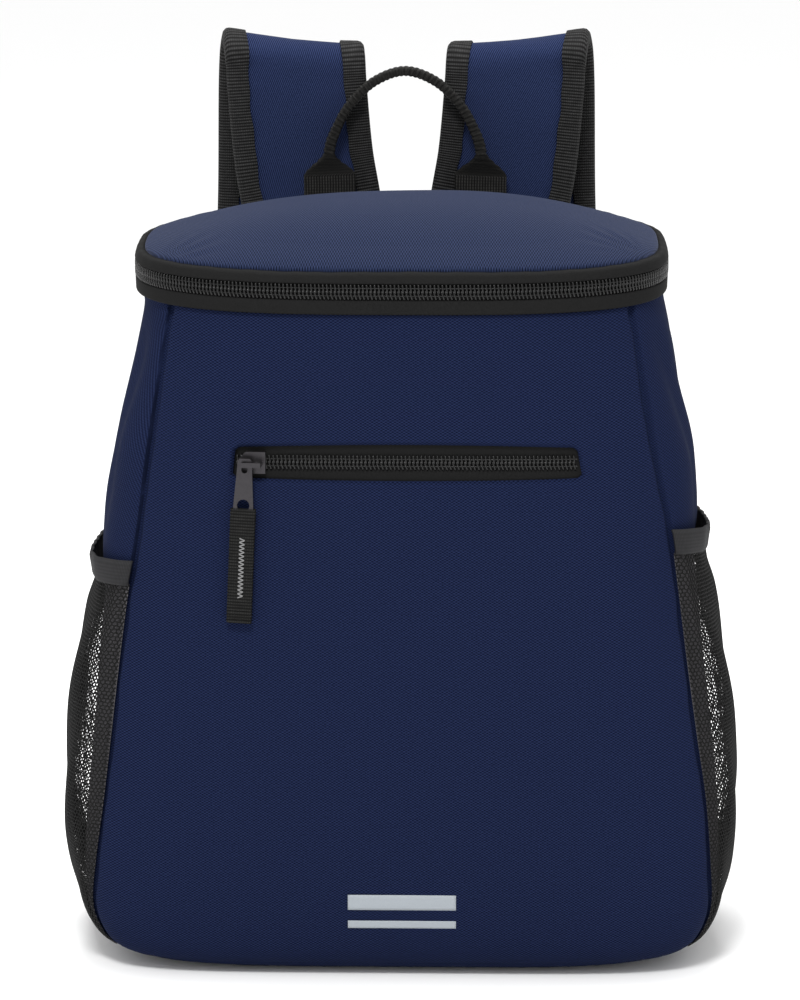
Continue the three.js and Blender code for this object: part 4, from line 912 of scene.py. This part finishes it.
def pocket_net(name, pocket):
    """An open hexagonal net over the pocket's sheet, one thin strand between each two knots."""
    table, out = pocket_table(pocket, 0.7, NET_GRID, NET_GRID)
    y, z = table[..., 1], table[..., 2]
    edge = np.minimum(np.linspace(0, 1, NET_GRID), np.linspace(1, 0, NET_GRID))
    sag = 0.9 * np.sin(z / 13 + y / 11) + 0.7 * np.sin(z / 29 - y / 17)
    sag = sag * smooth(0, 0.18, edge)[None, :] * smooth(0, 0.1, edge)[:, None]
    sewn = 0.85 * (1 - smooth(0, 0.04, edge))[None, :]
    table = table + out * (sag - sewn)[..., None]
    half = NET_GRID // 2
    strands = net_strands(lengths(table[half])[-1], lengths(table[:, half])[-1])
    ends = on_table(table, strands)
    n = on_table(out, strands).mean(axis=1)
    over = unit(np.cross(unit(ends[:, 1] - ends[:, 0]), n))
    points = rings(ends, over[:, None], n[:, None], np.radians([90, 210, 330]),
                   1.25 * NET_RADIUS, NET_RADIUS)
    prism = np.array([[0, 1, 4, 3], [1, 2, 5, 4], [2, 0, 3, 5]])
    faces = (np.arange(len(ends))[:, None, None] * 6 + prism).reshape(-1, 4)
    piece = make("net_" + name, points, faces.tolist(), material=NET)
    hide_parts("side_pocket_" + name)


def pocket_backing(name, pocket):
    """The grey cloth on the body's side that shows through the net."""
    flat = dict(pocket, swell=0.0, mouth=0.0)
    table, out = pocket_table(flat, 0.22 - 2 * CLEARANCE, 60, 60)
    z = table[..., 2]
    foot = 1 - smooth(0, 0.04, (z - POCKET_FOOT) / pocket["top"])
    uv = pair(lengths(table[30])[None, :], z)
    table = table - out * (0.05 * foot)[..., None]
    piece = make("backing_" + name, table, grid_faces(60, 60).tolist(), uv, material=BACKING)


def pocket_elastic(name, pocket):
    rows, columns = 14, 90
    table, out = pocket_table(pocket, 0.9, rows, columns, band=True)
    up = np.linspace(0, 1, rows)[:, None]
    gather = 0.35 * np.sin(np.linspace(0, 1, columns) * 60)[None, :] * (0.4 + 0.6 * up)
    edge = np.minimum(up, 1 - up) * ELASTIC_HEIGHT
    table = table + out * (gather - 0.7 * bell(edge, 1.0))[..., None]
    uv = pair(lengths(table[6])[None, :], up * ELASTIC_HEIGHT)
    piece = make("elastic_" + name, table, grid_faces(rows, columns).tolist(), uv, material=ELASTIC)
    thicken(piece, 1.5, offset=1.0 if pocket["side"] > 0 else -1.0)
    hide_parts("pocket_band_" + name)


for pocket_name, pocket_row in POCKETS.items():
    pocket_net(pocket_name, pocket_row)
    pocket_backing(pocket_name, pocket_row)
    pocket_elastic(pocket_name, pocket_row)

# Straps and handle


def curve(knots, count):
    """A smooth line through knots, spaced evenly: a centripetal Catmull-Rom spline."""
    knots = np.array(knots, float)
    knots = np.concatenate([[2 * knots[0] - knots[1]], knots, [2 * knots[-1] - knots[-2]]])
    line = []
    t = np.linspace(0, 1, 60, endpoint=False)[:, None]
    for p0, p1, p2, p3 in zip(knots, knots[1:], knots[2:], knots[3:]):
        d0, d1, d2 = (math.sqrt(np.linalg.norm(b - a)) for a, b in ((p0, p1), (p1, p2), (p2, p3)))
        m1 = ((p1 - p0) / d0 - (p2 - p0) / (d0 + d1) + (p2 - p1) / d1) * d1
        m2 = ((p2 - p1) / d1 - (p3 - p1) / (d1 + d2) + (p3 - p2) / d2) * d1
        line.append(p1 + m1 * t + (3 * (p2 - p1) - 2 * m1 - m2) * t**2
                    + (2 * (p1 - p2) + m1 + m2) * t**3)
    line.append(knots[-2][None])
    return resample(np.concatenate(line), count)[0]


def strap_line(side):
    root_y = BODY_BACK + CLEARANCE * 2 + HANDLE_WALL + STRAP_ROOT_PAD / 2 + CLEARANCE
    fold_y = root_y + STRAP_STAND + FOLD_RADIUS + CLEARANCE
    fold_z = STRAP_TOP - STRAP_PAD / 2 - BINDING_WALL - FOLD_RADIUS
    rear = BODY_BACK + STRAP_BOW
    drop = fold_z - STRAP_END

    def x(extra):
        return side * (STRAP_SPREAD + extra)

    knots = [
        (x(0), root_y, STRAP_ROOT),
        (x(0), root_y + 0.6, STRAP_ROOT + 12),
        (x(0), root_y + STRAP_LIFT, STRAP_ROOT + STRAP_PEEL),
        (x(STRAP_LEAN * 0.6), root_y + STRAP_STAND, mix(STRAP_ROOT, fold_z, 0.6)),
        (x(STRAP_LEAN), fold_y - FOLD_RADIUS, fold_z - 8),
    ]
    for degrees in (150, 120, 90, 60, 30):
        angle = math.radians(degrees)
        knots.append((x(STRAP_LEAN * mix(1.1, 1.6, (150 - degrees) / 120)),
                      fold_y + FOLD_RADIUS * math.cos(angle),
                      fold_z + FOLD_RADIUS * math.sin(angle)))
    knots += [
        (x(STRAP_LEAN * 1.7), fold_y + FOLD_RADIUS + 1, fold_z - 8),
        (x(STRAP_LEAN * 1.85), mix(fold_y + FOLD_RADIUS, rear, 0.6), fold_z - drop * 0.27),
        (x(STRAP_FLARE * 0.46), rear, fold_z - drop * 0.5),
        (x(STRAP_FLARE * 0.72), rear - 4, fold_z - drop * 0.74),
        (x(STRAP_FLARE), rear - 16, STRAP_END),
    ]
    return curve(knots, STRAP_STEPS)


def strap_stations(side):
    line = strap_line(side)
    along = heading(line)
    tilt = math.radians(STRAP_TILT)
    level = np.array([math.cos(tilt), 0.0, side * math.sin(tilt)])
    across = unit(level - along * (along @ level)[:, None])
    share = np.linspace(0, 1, STRAP_STEPS)
    taper = smooth(share[np.argmax(line[:, 2])] + 0.3, 1, share)
    half = mix(STRAP_WIDTH, STRAP_END_WIDTH, taper) / 2 - BINDING_WALL - 2 * CLEARANCE
    pad = mix(STRAP_ROOT_PAD, STRAP_PAD, smooth(0, 0.12, share)) / 2 - BINDING_WALL * 0.2 * taper
    return (line, across, np.cross(across, along)), half, pad


def strap(side, name):
    stations, half, pad = strap_stations(side)
    px, py = oblong(even(0, 2 * math.pi, 56)[None, :], 7, 2.6)
    along = lengths(stations[0])[:, None]
    ripple = 0.28 * np.sin(along / 14 + 2 * px) + 0.2 * np.sin(along / 6.3 - 3 * px)
    thick = pad[:, None] * py + ripple * (1 - np.abs(px) ** 3) * np.sign(py)
    profile = pair(half[:, None] * px, thick)
    points, faces, _ = sweep(stations, profile)
    uv = pair(profile[..., 0], along)
    piece = make("strap_cloth_" + name, points, faces, uv, material=STRAP_NAVY)
    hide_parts("strap_" + name)
    for edge, label in ((1, "outer"), (-1, "inner")):
        strap_binding(side * edge, name, label, stations, half, pad)


def strap_binding(edge, name, label, stations, half, pad):
    """Webbing folded over the strap's edge."""
    near = pad + 0.35
    far = near + BINDING_WALL
    reach = half + 2 * CLEARANCE + BINDING_WALL
    along = lengths(stations[0])
    lip = np.maximum(reach - BINDING_WIDTH, CLEARANCE)
    lip = lip + 0.35 * np.sin(along / 7.5) + 0.3 * np.sin(along / 3.1)
    outside = [(lip, near - 0.25), (lip, far - 0.25), (lip + 0.4, far),
               (mix(lip, half, 0.5), far + 0.1), (half - 1.5, far), (half + 0.3, far * 0.86),
               (reach - 0.1, far * 0.5)]
    inside = [(half + 0.2, near * 0.6), (half - 1, near)]
    below = [(x, -y) for x, y in outside[::-1] + inside[::-1]]
    shape = outside + [(reach, 0 * far)] + below + inside
    profile = np.array(shape).transpose(2, 0, 1) * np.array([edge, 1])
    points, faces, uv = sweep(stations, profile)
    piece = make(f"binding_{label}_{name}", points, faces, uv, material=WEBBING)
    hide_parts(f"strap_binding_{label}_{name}")


for strap_side, strap_name in ((-1, "left"), (1, "right")):
    strap(strap_side, strap_name)


def handle_stations():
    root_y = BODY_BACK + CLEARANCE + HANDLE_WALL / 2
    over_band = BAND_BACK + 1 + CLEARANCE + HANDLE_WALL / 2
    arch_y = over_band - 1
    half_line = [
        (-HANDLE_SPREAD, root_y, HANDLE_ROOT),
        (-HANDLE_SPREAD, root_y, HANDLE_ROOT + 12),
        (-HANDLE_SPREAD, over_band, HANDLE_ROOT + HANDLE_CLIMB),
        (-HANDLE_SPREAD, over_band, HANDLE_FLARE),
        (-HANDLE_SPREAD, arch_y, HANDLE_NECK),
        (-HANDLE_SPREAD * 0.9, arch_y, mix(HANDLE_NECK, HANDLE_TOP, 0.28)),
        (-HANDLE_SPREAD * 0.73, arch_y, mix(HANDLE_NECK, HANDLE_TOP, 0.57)),
        (-HANDLE_SPREAD * 0.4, arch_y, mix(HANDLE_NECK, HANDLE_TOP, 0.87)),
        (0, arch_y, HANDLE_TOP),
    ]
    other = [(-p[0], p[1], p[2]) for p in half_line[-2::-1]]
    line = curve(half_line + other, HANDLE_STEPS)
    along = heading(line)
    across = unit(np.array([0.0, 1.0, 0.0]) - along * along[:, 1:2])
    return line, across, np.cross(along, across)


def carry_handle():
    """One webbing, flat at its feet and folded into a braided cord over the arch."""
    stations = handle_stations()
    line = stations[0]
    neck = smooth(HANDLE_FLARE + 6, HANDLE_NECK - 2, line[:, 2:])
    arch = smooth(HANDLE_NECK, mix(HANDLE_NECK, HANDLE_TOP, 0.5), line[:, 2:])
    deep = mix(mix(HANDLE_WALL, HANDLE_FOLD_WIDTH * 0.62, neck), HANDLE_FOLD_WIDTH * 0.9, arch) / 2
    wide = mix(mix(HANDLE_BASE, HANDLE_FOLD_WALL * 1.15, neck), HANDLE_FOLD_WALL * 0.97, arch) / 2
    angle = even(0, 2 * math.pi, 40)[None, :]
    px, py = oblong(angle, 3, 5)
    along = lengths(line)[:, None]
    braid = 1 + 0.07 * np.sin(2 * math.pi * along / BRAID_PITCH + 2 * angle) * neck
    points, faces, _ = sweep(stations, pair(deep * px * braid, wide * py * braid))
    uv = pair(wide * py * mix(1.0, 2.2, neck) + 0.8 * along * neck, along)
    piece = make("handle_webbing", points, faces, uv, material=HANDLE_WEB)
    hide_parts("carry_handle")


carry_handle()

# Puller and slider


def pull_frame():
    """The puller's own frame: X along the zipper, Z up, -Y out of the face."""
    at, out = front_outline(SLOT_HEIGHT, np.array(PULL_PLACE))
    at = at - out * (TAPE_DEPTH - CLEARANCE - PULL_STAND)
    turn = math.atan2(out[1], out[0]) + math.pi / 2
    lean = math.radians(PULL_LEAN)
    face = Matrix.Translation(Vector(at.tolist())) @ Matrix.Rotation(turn, 4, "Z")
    return face @ Matrix.Rotation(lean, 4, "Y")


PULL = np.array(pull_frame())


def to_pull(points):
    points = np.asarray(points, float).reshape(-1, 3)
    return points @ PULL[:3, :3].T + PULL[:3, 3]


def pull_webbing():
    """The puller's webbing: two layers, ribbed across, with a fold above and raised ribs below."""
    half = PULL_WIDTH / 2
    foot = -PULL_TOP - PULL_LENGTH
    tab_far = -(CLEARANCE + 1.2) - 3.5
    front = tab_far - 1.7 - CLEARANCE - 1.2
    back = tab_far + CLEARANCE + 1.2
    z = np.linspace(-PULL_TOP, foot, 300)
    rib = np.abs(np.sin((z + PULL_TOP) * math.pi / PULL_RIB)) ** 0.7
    fat = 0.28 * rib + 0.45 * smooth(foot + 9, foot + 8, z) * rib
    front_y = mix(front + 0.4, front, smooth(0, 6, -PULL_TOP - z)) - fat
    back_y = mix(back, front + 3.2, smooth(32.5, 34.5, -z)) + 0.2 * rib
    side = half + 0.12 * np.sin(z * 2.9)
    right = [(half * 0.3 + 0 * z, front_y - 0.08), (side - 0.5, front_y), (side, front_y + 0.5),
             (side, back_y - 0.4), (side - 0.5, back_y)]
    ring = [(-x, y) for x, y in right[::-1]] + right
    ring = np.array([(x, y, z) for x, y in ring[2:] + ring[:2]]).transpose(2, 0, 1)
    uv = pair(lengths(ring[5])[None, :], z[:, None])
    faces = tube_faces(len(z), ring.shape[1])
    piece = make("pull_webbing", to_pull(ring), faces, uv, body="pull", material=PULL_WEB)
    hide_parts("pull_web")
    stitch(front)


def stitch(front):
    """The zigzag seam down the puller."""
    z = np.linspace(*STITCH_SPAN, STITCHES + 1)
    x = np.where(np.arange(STITCHES + 1) % 2, 1.35, -1.35) + 0.3
    out = np.array([0.0, -1.0, 0.0])
    t = np.linspace(0, 1, 7)
    parts = []
    for x0, z0, x1, z1 in zip(x, z, x[1:], z[1:]):
        at = np.stack([mix(x0, x1, t), front - 0.42 - 0.3 * np.sin(math.pi * t), mix(z0, z1, t)], 1)
        over = np.cross(unit(np.array([x1 - x0, 0, z1 - z0])), out)
        points = rings(at, over, out, even(0, 2 * math.pi, 6), 0.36, 0.3)
        parts.append((points.reshape(-1, 3), grid_faces(7, 6, wrap_columns=True).tolist()))
    points, faces = merge(parts)
    piece = make("pull_stitches", to_pull(points), faces, body="pull", material=THREAD)


pull_webbing()

# Accent


def accent_bar(name, height, tall):
    x = (ACCENT_MIDDLE + np.linspace(-ACCENT_WIDTH, ACCENT_WIDTH, 40) / 2)[None, :]
    rows = (np.linspace(-tall, tall, 6) / 2)[:, None]
    at, out = front_outline(height + rows, x)
    piece = make("accent_" + name, at + out * 0.75, grid_faces(rows.size, x.size)[:, ::-1].tolist(),
                 pair(x, rows), material=SILVER)
    thicken(piece, 0.35, offset=1.0)
    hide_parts("accent_bar_" + name)


for accent_name, (accent_height, accent_tall) in ACCENT_BARS.items():
    accent_bar(accent_name, accent_height, accent_tall)

# CAD pieces that are shown as they are, with rounded edges


def dress(node, material, edge):
    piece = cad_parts[node]
    piece.data.materials.clear()
    piece.data.materials.append(material)
    rounded = piece.modifiers.new("edge", "BEVEL")
    rounded.width = edge * 0.001
    rounded.segments = 3
    rounded.limit_method = "ANGLE"
    rounded.angle_limit = math.radians(38)
    piece.data.polygons.foreach_set("use_smooth", [True] * len(piece.data.polygons))


for metal_name in ("pocket_slider", "pull_tab", "lid_slider"):
    dress(metal_name, GUNMETAL, 0.35)
dress("lid_hinge", NAVY, 0.2)
dress("back_panel", BACK_CANVAS, 0.8)
for strap_name in ("left", "right"):
    dress("ladder_lock_" + strap_name, BUCKLE, 0.5)
    for web_name in ("lock_loop_", "adjuster_web_", "web_anchor_"):
        dress(web_name + strap_name, PLAIN_WEB, 0.2)

# Floor, light and camera


def floor():
    bpy.ops.mesh.primitive_plane_add(size=14, location=(0, 0, -0.0005))
    plane = bpy.context.object
    plane.name = "floor"
    material, _, _ = principled("pale_floor", (0.97, 0.97, 0.97), 0.9, specular=0.05)
    plane.data.materials.append(material)


def aimed(name, data, place, aim):
    """A lamp or a camera in its place, turned to what it looks at."""
    holder = bpy.data.objects.new(name, data)
    bpy.context.scene.collection.objects.link(holder)
    holder.location = place
    holder.rotation_mode = "QUATERNION"
    holder.rotation_quaternion = (Vector(aim) - Vector(place)).to_track_quat("-Z", "Y")
    return holder


def light(name, place, aim, size, power):
    lamp = bpy.data.lights.new(name, "AREA")
    lamp.shape = "RECTANGLE"
    lamp.size, lamp.size_y = size
    lamp.energy = power
    aimed(name, lamp, place, aim)


def studio():
    world = bpy.data.worlds.new("studio")
    bpy.context.scene.world = world
    world.use_nodes = True
    background = world.node_tree.nodes["Background"]
    background.inputs["Color"].default_value = (1.0, 1.0, 1.0, 1)
    background.inputs["Strength"].default_value = 1.0
    light("key", (-0.25, -1.5, 2.0), (0, 0, 0.25), (0.6, 0.4), 34)
    light("top", (0.0, 0.3, 2.2), (0, 0, 0.3), (1.2, 0.8), 30)
    bpy.context.scene.view_settings.view_transform = "Standard"


def camera():
    data = bpy.data.cameras.new("camera")
    data.lens = CAMERA_LENS
    data.sensor_width = 36
    data.shift_x = CAMERA_SHIFT
    bpy.context.scene.camera = aimed("camera", data, CAMERA_PLACE, CAMERA_AIM)


floor()
studio()
camera()
